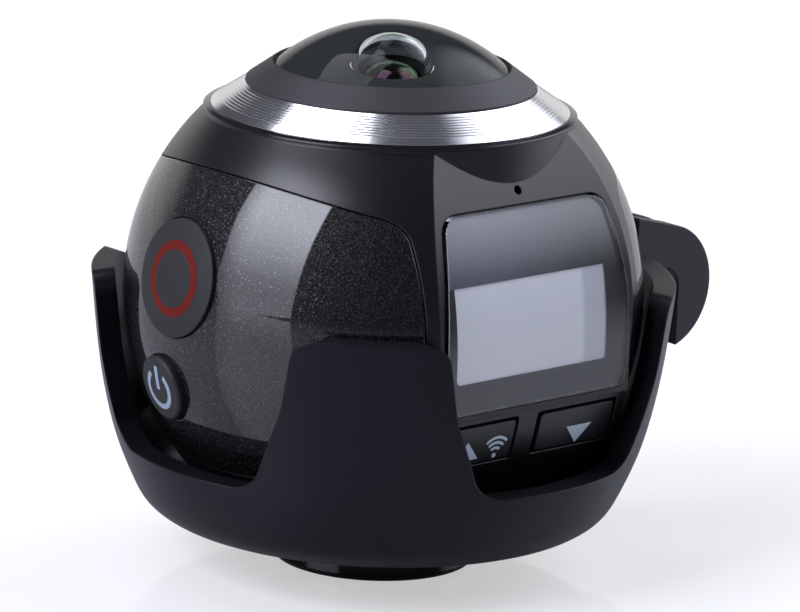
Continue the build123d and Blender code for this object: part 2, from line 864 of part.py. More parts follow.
plate_radius = base_flat_radius - plate_step
ledge_radius = plate_radius - ledge_width
plate_screw_place = plate_radius - plate_screw_inset
plate_top = base_z + plate_thickness
ledge_top = plate_top + ledge_thickness
boss_top = plate_top + plate_boss_height
plate_screw_places = [(plate_screw_place * cos(radians(angle)), plate_screw_place * sin(radians(angle)))
                      for angle in range(0, 360, 360 // plate_screw_count)]
plate_screw_heads = columns(plate_screw_places, base_z, base_z + plate_screw_head, plate_screw_head_radius)
plate_screw_shanks = columns(plate_screw_places, base_z + plate_screw_head, base_z + plate_screw_reach,
                             plate_screw_radius)

with BuildPart() as base_plate:
    add(column(0, 0, base_z, plate_top, plate_radius))
    add(column(0, 0, plate_top, boss_top, plate_boss_radius))
    add(column(0, 0, base_z, boss_top, insert_radius + pilot_gap), mode=Mode.SUBTRACT)
    add(plate_screw_heads, mode=Mode.SUBTRACT)
    add(plate_screw_shanks, mode=Mode.SUBTRACT)

with BuildPart() as base_plate_screws:
    add(plate_screw_heads)
    add(plate_screw_shanks)

with BuildPart() as tripod_insert:
    add(column(0, 0, base_z, base_z + insert_height, insert_radius))
    add(column(0, 0, base_z, base_z + insert_height, stud_radius + running_gap), mode=Mode.SUBTRACT)

# Battery in its tray, above the base plate
battery_inset = 3.3
battery_width = 22.6
battery_height = 8.0
battery_corner = 1.5
tray_wall = 0.8
tray_rise = 2.4
tray_lip = 3.0
tray_foot_radius = 1.3
tray_foot_inset = 3.7

battery_length = 2 * (base_flat_radius - battery_inset)
tray_low = ledge_top + tray_rise
tray_floor = tray_low + tray_wall
battery_top = tray_floor + battery_height
tray_half_x = battery_length / 2 + tray_wall
tray_half_y = battery_width / 2 + tray_wall
tray_foot_x = tray_half_x - tray_foot_inset
tray_foot_y = tray_half_y - tray_foot_inset
tray_feet = [(x, y) for x in (-tray_foot_x, tray_foot_x) for y in (-tray_foot_y, tray_foot_y)]

with BuildPart() as battery:
    with BuildSketch(Plane.XY.offset(tray_floor)):
        RectangleRounded(battery_length, battery_width, battery_corner)
    extrude(amount=battery_height)

with BuildPart() as battery_tray:
    with BuildSketch(Plane.XY.offset(tray_low)):
        RectangleRounded(2 * tray_half_x, 2 * tray_half_y, battery_corner + tray_wall)
    extrude(amount=tray_wall + tray_lip)
    add(battery.part, mode=Mode.SUBTRACT)
    add(columns(tray_feet, ledge_top, tray_low, tray_foot_radius))

# Main board on four posts, with what stands on it
main_board_rise = 1.8
main_board_lap = 0.3
main_board_rear_inset = 2.5
main_board_rim = 1.7
board_edge = 1.7
key_board_inset = 6.1
board_post_inset = 9.5
board_post_y = 7.0
board_post_radius = 1.4
board_screw_head_radius = 1.2
board_screw_radius = 0.7
housing_boss_inset = 7.2
housing_boss_radius = 2.6
boss_clearance = 0.4

key_board_y = facet_reach - key_board_inset
board_post_x = cavity_radius - board_post_inset
main_board_front = key_board_y + main_board_lap
main_board_rear = facet_reach - main_board_rear_inset
main_board_half = board_post_x + board_edge
main_board_radius = cavity_radius - main_board_rim
housing_boss_place = (cavity_radius - housing_boss_inset) / sqrt(2)
main_low = parting_z + main_board_rise
main_top = main_low + board_thickness
board_posts = [(x, y) for x in (-board_post_x, board_post_x) for y in (-board_post_y, board_post_y)]
housing_bosses = [(x, y) for x in (-housing_boss_place, housing_boss_place)
                  for y in (-housing_boss_place, housing_boss_place)]

with BuildPart() as main_board:
    add(slab((-main_board_half, -main_board_front, main_low), (main_board_half, main_board_rear, main_top)))
    add(column(0, 0, main_low, main_top, main_board_radius), mode=Mode.INTERSECT)
    add(columns(housing_bosses, main_low, main_top, housing_boss_radius + boss_clearance), mode=Mode.SUBTRACT)
    add(columns(board_posts, main_low, main_top, board_screw_radius + running_gap), mode=Mode.SUBTRACT)

with BuildPart() as main_board_screws:
    add(columns(board_posts, main_low - small_screw_reach, main_top, board_screw_radius))
    add(columns(board_posts, main_top, main_top + small_screw_head, board_screw_head_radius))


def on_board(x, y, width, depth, height):
    """Block standing on the main board, centred at a place."""
    return slab((x - width / 2, y - depth / 2, main_top), (x + width / 2, y + depth / 2, main_top + height))


shield_place = (-4.0, -7.0)
shield_size = (15.0, 14.0, 2.0)
memory_place = (9.5, -9.0)
memory_size = (6.0, 8.0, 0.9)
buzzer_place = (-12.5, 6.5)
buzzer_radius = 4.2
buzzer_height = 2.6
antenna_place = (18.6, 0.0)
antenna_size = (0.8, 9.0, 6.0)
usb_x = -7.2
usb_size = (7.6, 5.8, 2.7)
card_x = 3.9
card_size = (11.4, 14.8, 1.7)
socket_lap = 0.1
socket_wall = 0.4

with BuildPart() as processor_shield:
    add(on_board(*shield_place, *shield_size))

with BuildPart() as memory_chip:
    add(on_board(*memory_place, *memory_size))

with BuildPart() as buzzer:
    add(column(*buzzer_place, main_top, main_top + buzzer_height, buzzer_radius))

with BuildPart() as wireless_antenna:
    add(on_board(*antenna_place, *antenna_size))


def socket(x, size):
    """Sheet metal socket on the board's rear edge, open towards the port cover."""
    width, depth, height = size
    mouth = main_board_rear + socket_lap
    with BuildPart() as piece:
        add(on_board(x, mouth - depth / 2, *size))
        add(slab((x - width / 2 + socket_wall, mouth - depth + socket_wall, main_top + socket_wall),
                 (x + width / 2 - socket_wall, mouth, main_top + height - socket_wall)),
            mode=Mode.SUBTRACT)
    return piece.part


with BuildPart() as usb_socket:
    add(socket(usb_x, usb_size))

with BuildPart() as card_socket:
    add(socket(card_x, card_size))

# Flat flex from the main board up to the sensor board
flex_outer_x = 13.0
flex_inner_x = 8.0
flex_half_width = 4.0
flex_thickness = 0.25
flex_bend = 1.2

flex_run = flex_outer_x - flex_inner_x
flex_rise = sensor_board_low - main_top
with BuildPart() as sensor_flex:
    with BuildSketch(Plane.XZ.offset(-flex_half_width)):
        with Locations((flex_inner_x, (main_top + sensor_board_low) / 2)):
            RectangleRounded(2 * flex_run, flex_rise, flex_bend)
            RectangleRounded(2 * (flex_run - flex_thickness), flex_rise - 2 * flex_thickness,
                             flex_bend - flex_thickness, mode=Mode.SUBTRACT)
    extrude(amount=2 * flex_half_width)
    add(slab((flex_inner_x, -far, 0), (flex_outer_x, far, far)), mode=Mode.INTERSECT)

# Switches behind the buttons, on two small boards that stand on edge against the main board
key_board_half = 9.8
key_board_height = 8.6
side_board_low_drop = 12.8
side_board_high_rise = 9.4
side_board_low_y = -4.0
side_board_high_y = 10.0
switch_half = 1.9
switch_height = 1.0
plunger_radius = 0.9
switch_clearance = 0.08


def plunger_y(height):
    """Distance of a key switch's tip from the middle plane."""
    return facet_y(height, key_back) - key_travel - switch_clearance


key_z = (key_low + key_high) / 2
side_board_x = main_board_half + running_gap + board_thickness
with BuildPart() as button_board:
    add(slab((-key_board_half, -key_board_y, main_low - key_board_height),
             (key_board_half, board_thickness - key_board_y, main_low)))

with BuildPart() as key_switches:
    for x in (-key_middle, key_middle):
        add(slab((x - switch_half, -key_board_y - switch_height, key_z - switch_half),
                 (x + switch_half, -key_board_y, key_z + switch_half)))
        with BuildSketch(Plane.XZ.offset(key_board_y)):
            with Locations((x, key_z)):
                Circle(plunger_radius)
        extrude(amount=plunger_y(key_z - plunger_radius) - key_board_y)

with BuildPart() as side_board:
    add(slab((-side_board_x, side_board_low_y, ball_z - side_board_low_drop),
             (-side_board_x + board_thickness, side_board_high_y, ball_z + side_board_high_rise)))

with BuildPart() as side_switches:
    for y, rise, flange, travel in ((record_y, record_rise, record_flange_x, record_travel),
                                    (power_y, power_rise, power_flange_x, record_travel)):
        z = ball_z + rise
        tip = flange - flange_thickness - travel - switch_clearance
        add(slab((-side_board_x - switch_height, y - switch_half, z - switch_half),
                 (-side_board_x, y + switch_half, z + switch_half)))
        with BuildSketch(Plane.YZ.offset(-side_board_x)):
            with Locations((y, z)):
                Circle(plunger_radius)
        extrude(amount=-(tip - side_board_x))

# Microphone behind the small hole at the foot of the neck
microphone_rise = 16.6
microphone_hole_radius = 0.55
microphone_radius = 2.0
microphone_thickness = 1.2
microphone_inset = 1.95


def on_facet_bar(start, depth, radius):
    """Round bar square to the front facet at the microphone hole."""
    with BuildPart() as piece:
        with BuildSketch(facet_plane(ball_z + microphone_rise, start)):
            Circle(radius)
        extrude(amount=-depth)
    return piece.part


with BuildPart() as front_microphone:
    add(on_facet_bar(microphone_inset, microphone_thickness, microphone_radius))

# Port cover on the rear facet, hinged on a steel pin along its lower edge
cover_half_width = 11.2
cover_base_rise = 1.6
cover_height = 8.4
cover_thickness = 1.4
cover_corner = 1.2
pin_inset = 1.0
pin_radius = 0.6
pin_reach = 1.4
knuckle_gap = 0.12
nail_notch_radius = 2.4
nail_notch_depth = 0.7

cover_low = parting_z + cover_base_rise
pin_z = cover_low + pin_inset
pin_y = facet_reach - pin_inset


def cover_block(gap, low):
    """Block through the rear facet with the outline of the port cover."""
    half = cover_half_width + gap
    with BuildPart() as piece:
        with BuildSketch(Plane.XZ) as outline:
            with Locations((0, (low + cover_low + cover_height + gap) / 2)):
                Rectangle(2 * half, cover_low + cover_height + gap - low)
            fillet(outline.vertices().group_by(Axis.Y)[-1], cover_corner + gap)
        extrude(amount=-far)
    return piece.part


def hinge_bar(half_length, radius):
    """Round bar along X on the port cover's hinge line."""
    with BuildPart() as piece:
        with BuildSketch(Plane.YZ.offset(-half_length)):
            with Locations((pin_y, pin_z)):
                Circle(radius)
        extrude(amount=2 * half_length)
    return piece.part


with BuildPart() as port_cover:
    add(facet_skin(0, cover_thickness, side=1))
    add(cover_block(0, pin_z), mode=Mode.INTERSECT)
    add(hinge_bar(cover_half_width, pin_inset))
    add(hinge_bar(cover_half_width, pin_radius + fit_gap), mode=Mode.SUBTRACT)

with BuildPart() as port_cover_pin:
    add(hinge_bar(cover_half_width + pin_reach, pin_radius))

# Long screws that draw the two housings together, from below
housing_screw_radius = 1.0
housing_screw_head_radius = 1.8
housing_screw_head = 1.2
housing_screw_seat = 5.9
upper_boss_height = 8.3
rib_thickness = 1.2
boss_cover = 1.2
housing_screw_tip = 1.0

screw_seat_z = base_z + housing_screw_seat
upper_boss_top = parting_z + upper_boss_height
rib_low = main_top + boss_clearance
with BuildPart() as housing_screws:
    add(columns(housing_bosses, screw_seat_z - housing_screw_head, screw_seat_z, housing_screw_head_radius))
    add(columns(housing_bosses, screw_seat_z, upper_boss_top - housing_screw_tip, housing_screw_radius))

# Upper housing: faceted shell with the neck, the deck that carries the lens, and bosses inside
neck_reach = 8.0
rib_inset = 0.5

rib_radius = ball_radius - rib_inset
upper_skin = upper_form(0, parting_z, neck_top)
upper_cavity = upper_form(shell_wall, parting_z, deck_low)
upper_limit = upper_form(boss_cover, parting_z, deck_low + shell_wall / 2)
key_openings = key_opening(-1, seam_gap) + key_opening(1, key_groove)
panel_pocket = ball(0) - ball(panel_thickness + fit_gap)
panel_pockets = [panel_outline(seam_gap / 2, side) & panel_pocket for side in (-1, 1)]

with BuildPart() as upper_inner:
    add(columns(housing_bosses, parting_z, upper_boss_top, housing_boss_radius))
    for angle in (45, 135, 225, 315):
        with BuildSketch(Plane.XY.offset(rib_low).rotated((0, 0, angle))):
            with Locations((rib_radius / 2 + housing_boss_place / sqrt(2), 0)):
                Rectangle(rib_radius - housing_boss_place * sqrt(2), rib_thickness)
        extrude(amount=upper_boss_top - rib_low)
    add(columns(post_places, sensor_board_top, neck_top, post_radius))
    add(lcd_bars(lcd_thickness, -lcd_boss_reach, lcd_boss_radius))
    add(upper_limit, mode=Mode.INTERSECT)

with BuildPart() as upper_housing:
    add(upper_skin)
    add(column(0, 0, neck_top - neck_reach, neck_top, neck_radius))
    add(upper_cavity, mode=Mode.SUBTRACT)
    add(upper_inner.part)
    add(column(0, 0, deck_low, neck_top, bezel_tube_radius + seam_gap), mode=Mode.SUBTRACT)
    add(columns(housing_bosses, parting_z, upper_boss_top - housing_screw_tip, housing_screw_radius + pilot_gap),
        mode=Mode.SUBTRACT)
    add(columns(post_places, sensor_board_top, sensor_board_top + small_screw_reach,
                small_screw_radius + pilot_gap), mode=Mode.SUBTRACT)
    add(lcd_bars(lcd_thickness, -lcd_screw_reach, small_screw_radius + pilot_gap), mode=Mode.SUBTRACT)
    add(facet_skin(-far / 2, display_inset + fit_gap) & display_outline(display_seam), mode=Mode.SUBTRACT)
    add(lcd_block(lcd_opening_width, lcd_opening_height, -lcd_inset, lcd_inset, board_corner / 3),
        mode=Mode.SUBTRACT)
    add(lcd_block(lcd_width + 2 * seam_gap, lcd_height + 2 * seam_gap, 0, frame_back), mode=Mode.SUBTRACT)
    for pocket in panel_pockets:
        add(pocket, mode=Mode.SUBTRACT)
    for hole in (record_hole, power_hole, light_hole):
        add(hole, mode=Mode.SUBTRACT)
    add(on_facet_bar(-overrun, 2 * overrun + shell_wall, microphone_hole_radius), mode=Mode.SUBTRACT)
    add(cover_block(seam_gap, pin_z - pin_inset - knuckle_gap), mode=Mode.SUBTRACT)
    add(hinge_bar(cover_half_width + pin_reach, pin_radius + pilot_gap), mode=Mode.SUBTRACT)

# Lower housing: faceted shell with a flat underside, bosses, and posts for the main board
lower_skin = lower_form(0, base_z, parting_z)
lower_cavity = lower_form(shell_wall, ledge_top, parting_z)
lower_limit = lower_form(boss_cover, base_z + boss_cover, parting_z)

with BuildPart() as lower_inner:
    add(columns(housing_bosses, base_z, parting_z, housing_boss_radius))
    add(columns(board_posts, base_z, parting_z, board_post_radius))
    add(lower_limit, mode=Mode.INTERSECT)
    add(columns(board_posts, parting_z, main_low, board_post_radius))

with BuildPart() as lower_housing:
    add(lower_skin)
    add(lower_cavity, mode=Mode.SUBTRACT)
    add(lower_inner.part)
    add(column(0, 0, base_z, plate_top, plate_radius + fit_gap), mode=Mode.SUBTRACT)
    add(column(0, 0, plate_top, ledge_top, ledge_radius), mode=Mode.SUBTRACT)
    add(columns(plate_screw_places, plate_top, base_z + plate_screw_reach, plate_screw_radius + pilot_gap),
        mode=Mode.SUBTRACT)
    add(columns(housing_bosses, base_z, screw_seat_z, housing_screw_head_radius + seam_gap), mode=Mode.SUBTRACT)
    add(columns(housing_bosses, screw_seat_z, parting_z, housing_screw_radius + running_gap),
        mode=Mode.SUBTRACT)
    add(columns(board_posts, main_low - small_screw_reach, main_low, board_screw_radius + pilot_gap),
        mode=Mode.SUBTRACT)
    for pocket in panel_pockets:
        add(pocket, mode=Mode.SUBTRACT)
    add(power_hole, mode=Mode.SUBTRACT)
    add(facet_skin(-overrun, key_back + key_travel + seam_gap, straight=False) & key_openings,
        mode=Mode.SUBTRACT)

pieces = {"foot_knob": foot_knob, "clamp_stud": clamp_stud, "stud_clip": stud_clip,
          "cradle": cradle_drilled, "side_mount": side_mount, "side_mount_screws": side_mount_screws,
          "rim_ring": rim_ring, "trim_ring": trim_ring, "lens_bezel": lens_bezel, "bezel_nut": bezel_nut,
          "dome_seal": dome_seal, "dome_lens": dome_lens, "lens_barrel": lens_barrel,
          "second_lens": second_lens, "lens_retainer": lens_retainer, "third_lens": third_lens,
          "rear_lens_group": rear_lens_group, "infrared_filter": infrared_filter,
          "sensor_board": sensor_board, "sensor_screws": sensor_screws, "image_sensor": image_sensor,
          "display_window": display_window, "lcd_panel": lcd_panel, "lcd_frame": lcd_frame,
          "lcd_frame_screws": lcd_frame_screws, "record_side_panel": record_side_panel,
          "plain_side_panel": plain_side_panel, "record_button": record_button,
          "record_light_ring": record_light_ring, "power_button": power_button,
          "status_light_pipe": status_light_pipe, "up_button": up_button, "down_button": down_button,
          "base_plate": base_plate, "base_plate_screws": base_plate_screws, "tripod_insert": tripod_insert,
          "battery": battery, "battery_tray": battery_tray, "main_board": main_board,
          "main_board_screws": main_board_screws, "processor_shield": processor_shield,
          "memory_chip": memory_chip, "buzzer": buzzer, "wireless_antenna": wireless_antenna,
          "usb_socket": usb_socket, "card_socket": card_socket, "sensor_flex": sensor_flex,
          "button_board": button_board, "key_switches": key_switches, "side_board": side_board,
          "side_switches": side_switches, "front_microphone": front_microphone, "port_cover": port_cover,
          "port_cover_pin": port_cover_pin, "housing_screws": housing_screws,
          "upper_housing": upper_housing, "lower_housing": lower_housing}
for name, piece in pieces.items():
    piece.part.label = name
    export_step(piece.part, f"parts/{name}.step")
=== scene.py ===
"""Looks of a 360 degree ball camera standing in its claw cradle."""
import math

import bmesh
import bpy
from mathutils import Matrix, Vector


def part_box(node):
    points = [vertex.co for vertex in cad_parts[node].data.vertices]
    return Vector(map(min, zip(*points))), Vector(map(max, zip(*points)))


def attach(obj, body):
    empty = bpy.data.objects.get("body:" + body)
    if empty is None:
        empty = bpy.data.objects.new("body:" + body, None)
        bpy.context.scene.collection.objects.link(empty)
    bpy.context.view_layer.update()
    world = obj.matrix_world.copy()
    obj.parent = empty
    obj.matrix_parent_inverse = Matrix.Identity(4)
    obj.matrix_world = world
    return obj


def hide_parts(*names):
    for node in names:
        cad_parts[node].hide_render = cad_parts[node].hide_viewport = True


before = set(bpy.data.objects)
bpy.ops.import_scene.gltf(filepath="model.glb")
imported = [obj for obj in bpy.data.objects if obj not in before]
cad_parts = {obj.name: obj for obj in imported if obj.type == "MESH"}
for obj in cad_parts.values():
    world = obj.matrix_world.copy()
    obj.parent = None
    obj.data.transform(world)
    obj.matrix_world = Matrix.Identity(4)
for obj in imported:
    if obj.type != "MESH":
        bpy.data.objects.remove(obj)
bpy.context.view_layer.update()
mm = 0.001


# Studio: a long lens at the photographed angle, a glossy white table, and a white wall behind it.
# The wall is part of the world, so metal and glass show it. The room in front is dim, but for one
# bright side that the display window mirrors.
def linear(code):
    """Linear colour of an sRGB hex code."""
    parts = [int(code[i:i + 2], 16) / 255 for i in (0, 2, 4)]
    return [p / 12.92 if p <= 0.04045 else ((p + 0.055) / 1.055) ** 2.4 for p in parts] + [1.0]


def add_node(tree, kind, settings=None, **inputs):
    """A node with its settings; each input is a value, or the socket that feeds it."""
    made = tree.nodes.new(kind)
    for name, value in (settings or {}).items():
        setattr(made, name, value)
    for name, value in inputs.items():
        socket = made.inputs[int(name[1:])] if name[1:].isdigit() else made.inputs[name.replace("_", " ")]
        if isinstance(value, bpy.types.NodeSocket):
            tree.links.new(value, socket)
        else:
            socket.default_value = value
    return made


camera_place = Vector((-432.96, -480.85, 192.93)) * mm
camera_turn, camera_pitch, camera_yaw, camera_roll = math.radians(-42), 0.24645, 0.00313, 0.03981
forward = Vector((math.sin(camera_yaw) * math.cos(camera_pitch),
                  math.cos(camera_yaw) * math.cos(camera_pitch), -math.sin(camera_pitch)))
right = Vector((math.cos(camera_yaw), -math.sin(camera_yaw), 0))
up = right.cross(forward)
leaning_right = right * math.cos(camera_roll) + up * math.sin(camera_roll)
leaning_up = up * math.cos(camera_roll) - right * math.sin(camera_roll)
axes = Matrix((leaning_right, leaning_up, -forward)).transposed()
lens = bpy.data.cameras.new("studio_camera")
lens.sensor_width = 36
lens.lens = 256.4
lens.clip_start = 0.01
viewpoint = bpy.data.objects.new("studio_camera", lens)
turned_axes = Matrix.Rotation(camera_turn, 3, "Z") @ axes
viewpoint.matrix_world = Matrix.Translation(camera_place) @ turned_axes.to_4x4()
bpy.context.collection.objects.link(viewpoint)
bpy.context.scene.camera = viewpoint
bpy.context.scene.view_settings.view_transform = "Standard"

soft_step = {"interpolation_type": "SMOOTHSTEP"}
times = {"operation": "MULTIPLY"}
wall_bearing = (0.669, 0.743, 0.0)
bright_bearing = (0.836, -0.224, 0.500)
world = bpy.data.worlds.new("studio_world")
bpy.context.scene.world = world
world.use_nodes = True
world.node_tree.nodes.clear()
tree = world.node_tree
direction = add_node(tree, "ShaderNodeTexCoord").outputs["Generated"]
wall_side = add_node(tree, "ShaderNodeVectorMath", {"operation": "DOT_PRODUCT"}, _0=direction,
                     _1=wall_bearing).outputs["Value"]
height = add_node(tree, "ShaderNodeSeparateXYZ", _0=direction).outputs["Z"]
wall_width = add_node(tree, "ShaderNodeMapRange", soft_step, Value=wall_side, From_Min=0.40,
                      From_Max=0.70).outputs[0]
wall_top = add_node(tree, "ShaderNodeMapRange", soft_step, Value=height, From_Min=0.36, From_Max=0.20,
                    To_Max=0.75).outputs[0]
wall = add_node(tree, "ShaderNodeMath", times, _0=wall_width, _1=wall_top).outputs[0]
path = add_node(tree, "ShaderNodeLightPath").outputs
mirrored = add_node(tree, "ShaderNodeMath", {"operation": "MAXIMUM"}, _0=path["Is Glossy Ray"],
                    _1=path["Is Transmission Ray"]).outputs[0]
mirrored_wall = add_node(tree, "ShaderNodeMath", times, _0=mirrored, _1=wall).outputs[0]
shown = add_node(tree, "ShaderNodeMath", {"operation": "MAXIMUM"}, _0=path["Is Camera Ray"],
                 _1=mirrored_wall).outputs[0]
bright_side = add_node(tree, "ShaderNodeVectorMath", {"operation": "DOT_PRODUCT"}, _0=direction,
                       _1=bright_bearing).outputs["Value"]
room_glow = add_node(tree, "ShaderNodeMapRange", soft_step, Value=bright_side, From_Min=0.76,
                     From_Max=0.92, To_Min=0.13, To_Max=4.4).outputs[0]
room = add_node(tree, "ShaderNodeBackground", Color=linear("d2d5e2"), Strength=room_glow)
white = add_node(tree, "ShaderNodeBackground", Color=(1, 1, 1, 1), Strength=1.0)
mixed = add_node(tree, "ShaderNodeMixShader", _0=shown, _1=room.outputs[0], _2=white.outputs[0])
add_node(tree, "ShaderNodeOutputWorld", Surface=mixed.outputs[0])

floor_mesh = bpy.data.meshes.new("floor")
reach, floor_z = 3.0, -0.02 * mm
floor_mesh.from_pydata([(-reach, -reach, floor_z), (reach, -reach, floor_z), (reach, reach, floor_z),
                        (-reach, reach, floor_z)], [], [(0, 1, 2, 3)])
floor = bpy.data.objects.new("floor", floor_mesh)
bpy.context.collection.objects.link(floor)
acrylic = bpy.data.materials.new("white_acrylic_sheet")
acrylic.use_nodes = True
acrylic.node_tree.nodes.clear()
tree = acrylic.node_tree
path = add_node(tree, "ShaderNodeLightPath").outputs
sheet = add_node(tree, "ShaderNodeBsdfPrincipled", Base_Color=(0.5, 0.5, 0.51, 1), Roughness=0.06)
glow = add_node(tree, "ShaderNodeEmission", Color=(1, 1, 1, 1), Strength=0.5)
plain = add_node(tree, "ShaderNodeAddShader", _0=sheet.outputs[0], _1=glow.outputs[0])
seen = add_node(tree, "ShaderNodeMixShader", _0=path["Is Camera Ray"], _1=sheet.outputs[0],
                _2=plain.outputs[0])
add_node(tree, "ShaderNodeOutputMaterial", Surface=seen.outputs[0])
floor_mesh.materials.append(acrylic)


lamp_target = Vector((0, 0, 35 * mm))


def soft_box(name, azimuth, elevation, distance, width, height, radiance, lean=0.0, foot_share=1.0):
    """A rectangular lamp turned to the ball's middle; azimuth 0 is in front of the display.
    Its glow falls towards its foot and its far side, to a share of the full radiance."""
    turn, rise = math.radians(azimuth), math.radians(elevation)
    away = Vector((math.sin(turn) * math.cos(rise), -math.cos(turn) * math.cos(rise), math.sin(rise)))
    lamp = bpy.data.lights.new(name, "AREA")
    lamp.shape = "RECTANGLE"
    lamp.size = width
    lamp.size_y = height
    lamp.energy = radiance * math.pi * width * height
    lamp.use_nodes = True
    tree = lamp.node_tree
    tree.nodes.clear()
    place = add_node(tree, "ShaderNodeNewGeometry").outputs["Parametric"]
    part = add_node(tree, "ShaderNodeSeparateXYZ", _0=place).outputs
    upward = add_node(tree, "ShaderNodeMapRange", soft_step, Value=part["Y"], From_Min=0.15, From_Max=0.75,
                      To_Min=foot_share).outputs[0]
    forward = add_node(tree, "ShaderNodeMapRange", soft_step, Value=part["X"], From_Min=-0.15, From_Max=0.30,
                       To_Min=foot_share).outputs[0]
    share = add_node(tree, "ShaderNodeMath", times, _0=upward, _1=forward).outputs[0]
    emitter = add_node(tree, "ShaderNodeEmission", Color=linear("eef0ff"), Strength=share)
    add_node(tree, "ShaderNodeOutputLight", Surface=emitter.outputs[0])
    box = bpy.data.objects.new(name, lamp)
    box.matrix_world = (Matrix.Translation(lamp_target + away * distance)
                        @ away.to_track_quat("Z", "Y").to_matrix().to_4x4()
                        @ Matrix.Rotation(lean, 4, "Z"))
    bpy.context.collection.objects.link(box)


soft_box("record_side_box", -100, 25, 0.72, 0.51, 0.75, 10.5, lean=0.05, foot_share=0.25)
soft_box("rear_top_box", -165, 66, 0.8, 0.50, 0.40, 3.6)


# Cradle: one bowl with four claws, moulded in black ABS with a fine spark-eroded skin.
# The skin spreads the light, so the claws look almost flat and slightly blue.
def start_material(name):
    """An empty material's node tree."""
    made = bpy.data.materials.new(name)
    made.use_nodes = True
    made.node_tree.nodes.clear()
    return made.node_tree


def finish_material(tree, shader, *names):
    """Ends a material at its shader and puts it on CAD nodes."""
    add_node(tree, "ShaderNodeOutputMaterial", Surface=shader.outputs[0])
    made = next(m for m in bpy.data.materials if m.node_tree == tree)
    for name in names:
        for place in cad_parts[name].material_slots:
            place.material = made
    return made


def skin_bump(tree, grain, strength, depth, radius):
    """Normal of a moulded skin with a grain size, over edges rounded to a radius."""
    where = add_node(tree, "ShaderNodeTexCoord").outputs["Object"]
    rounded = add_node(tree, "ShaderNodeBevel", {"samples": 4}, Radius=radius)
    noise = add_node(tree, "ShaderNodeTexNoise", Vector=where, Scale=1 / grain, Detail=2.0)
    return add_node(tree, "ShaderNodeBump", Strength=strength, Distance=depth, Height=noise.outputs[0],
                    Normal=rounded.outputs[0]).outputs[0]


tree = start_material("black_abs_moulded")
where = add_node(tree, "ShaderNodeTexCoord").outputs["Object"]
cloud = add_node(tree, "ShaderNodeTexNoise", Vector=where, Scale=1 / (9 * mm), Detail=3.0)
rough = add_node(tree, "ShaderNodeMapRange", Value=cloud.outputs[0], To_Min=0.32, To_Max=0.40)
shader = add_node(tree, "ShaderNodeBsdfPrincipled", Base_Color=linear("101015"), Roughness=rough.outputs[0],
                  Specular_IOR_Level=0.25, Specular_Tint=linear("e4e6f6"),
                  Normal=skin_bump(tree, 0.18 * mm, 0.12, 0.01 * mm, 0.35 * mm))
finish_material(tree, shader, "cradle")


# Side mount: two flat fingers of the common action camera pattern, moulded in one piece.
# Its dark grey nylon is a little lighter and flatter than the cradle, with two black screws.
tree = start_material("dark_grey_nylon")
shader = add_node(tree, "ShaderNodeBsdfPrincipled", Base_Color=linear("222229"), Roughness=0.46,
                  Specular_IOR_Level=0.45, Normal=skin_bump(tree, 0.22 * mm, 0.15, 0.01 * mm, 0.3 * mm))
finish_material(tree, shader, "side_mount")

tree = start_material("black_oxide_steel")
shader = add_node(tree, "ShaderNodeBsdfPrincipled", Base_Color=linear("2a2a2d"), Metallic=0.9,
                  Roughness=0.38, Normal=skin_bump(tree, 0.1 * mm, 0.1, 0.005 * mm, 0.15 * mm))
finish_material(tree, shader, "side_mount_screws", "housing_screws", "base_plate_screws",
                "main_board_screws", "sensor_screws", "lcd_frame_screws")


# Foot: a polished black knob on a plated steel stud, held in the cradle by a spring clip.
# The polish gives sharp reflections of the table.
tree = start_material("polished_black_abs")
shader = add_node(tree, "ShaderNodeBsdfPrincipled", Base_Color=linear("0b0b0d"), Roughness=0.12,
                  Specular_IOR_Level=0.5, Normal=skin_bump(tree, 1.5 * mm, 0.05, 0.01 * mm, 0.3 * mm))
finish_material(tree, shader, "foot_knob", "rim_ring")

tree = start_material("zinc_plated_steel")
where = add_node(tree, "ShaderNodeTexCoord").outputs["Object"]
cloud = add_node(tree, "ShaderNodeTexNoise", Vector=where, Scale=1 / (1.5 * mm), Detail=4.0)
rough = add_node(tree, "ShaderNodeMapRange", Value=cloud.outputs[0], To_Min=0.22, To_Max=0.38)
shader = add_node(tree, "ShaderNodeBsdfPrincipled", Base_Color=linear("b9bbc0"), Metallic=1.0,
                  Roughness=rough.outputs[0], Normal=skin_bump(tree, 0.3 * mm, 0.08, 0.01 * mm, 0.15 * mm))
finish_material(tree, shader, "clamp_stud", "stud_clip", "port_cover_pin", "processor_shield", "usb_socket",
                "card_socket", "front_microphone")


# Housing: two halves of ABS sprayed satin dark grey, with the port cover in the same paint.
# Wide soft highlights run over the paint and a thin light line over each crease.
two_colours = {"data_type": "RGBA"}
tree = start_material("satin_grey_paint")
where = add_node(tree, "ShaderNodeTexCoord").outputs["Object"]
mist = add_node(tree, "ShaderNodeTexNoise", Vector=where, Scale=1 / (0.12 * mm), Detail=1.0)
tint = add_node(tree, "ShaderNodeMix", two_colours, Factor=mist.outputs[0], _6=linear("0c0c0e"),
                _7=linear("101013"))
rough = add_node(tree, "ShaderNodeMapRange", Value=mist.outputs[0], To_Min=0.27, To_Max=0.35)
shader = add_node(tree, "ShaderNodeBsdfPrincipled", Base_Color=tint.outputs[2], Roughness=rough.outputs[0],
                  Specular_IOR_Level=0.45, Normal=skin_bump(tree, 0.15 * mm, 0.08, 0.01 * mm, 0.2 * mm))
finish_material(tree, shader, "upper_housing", "lower_housing", "port_cover")


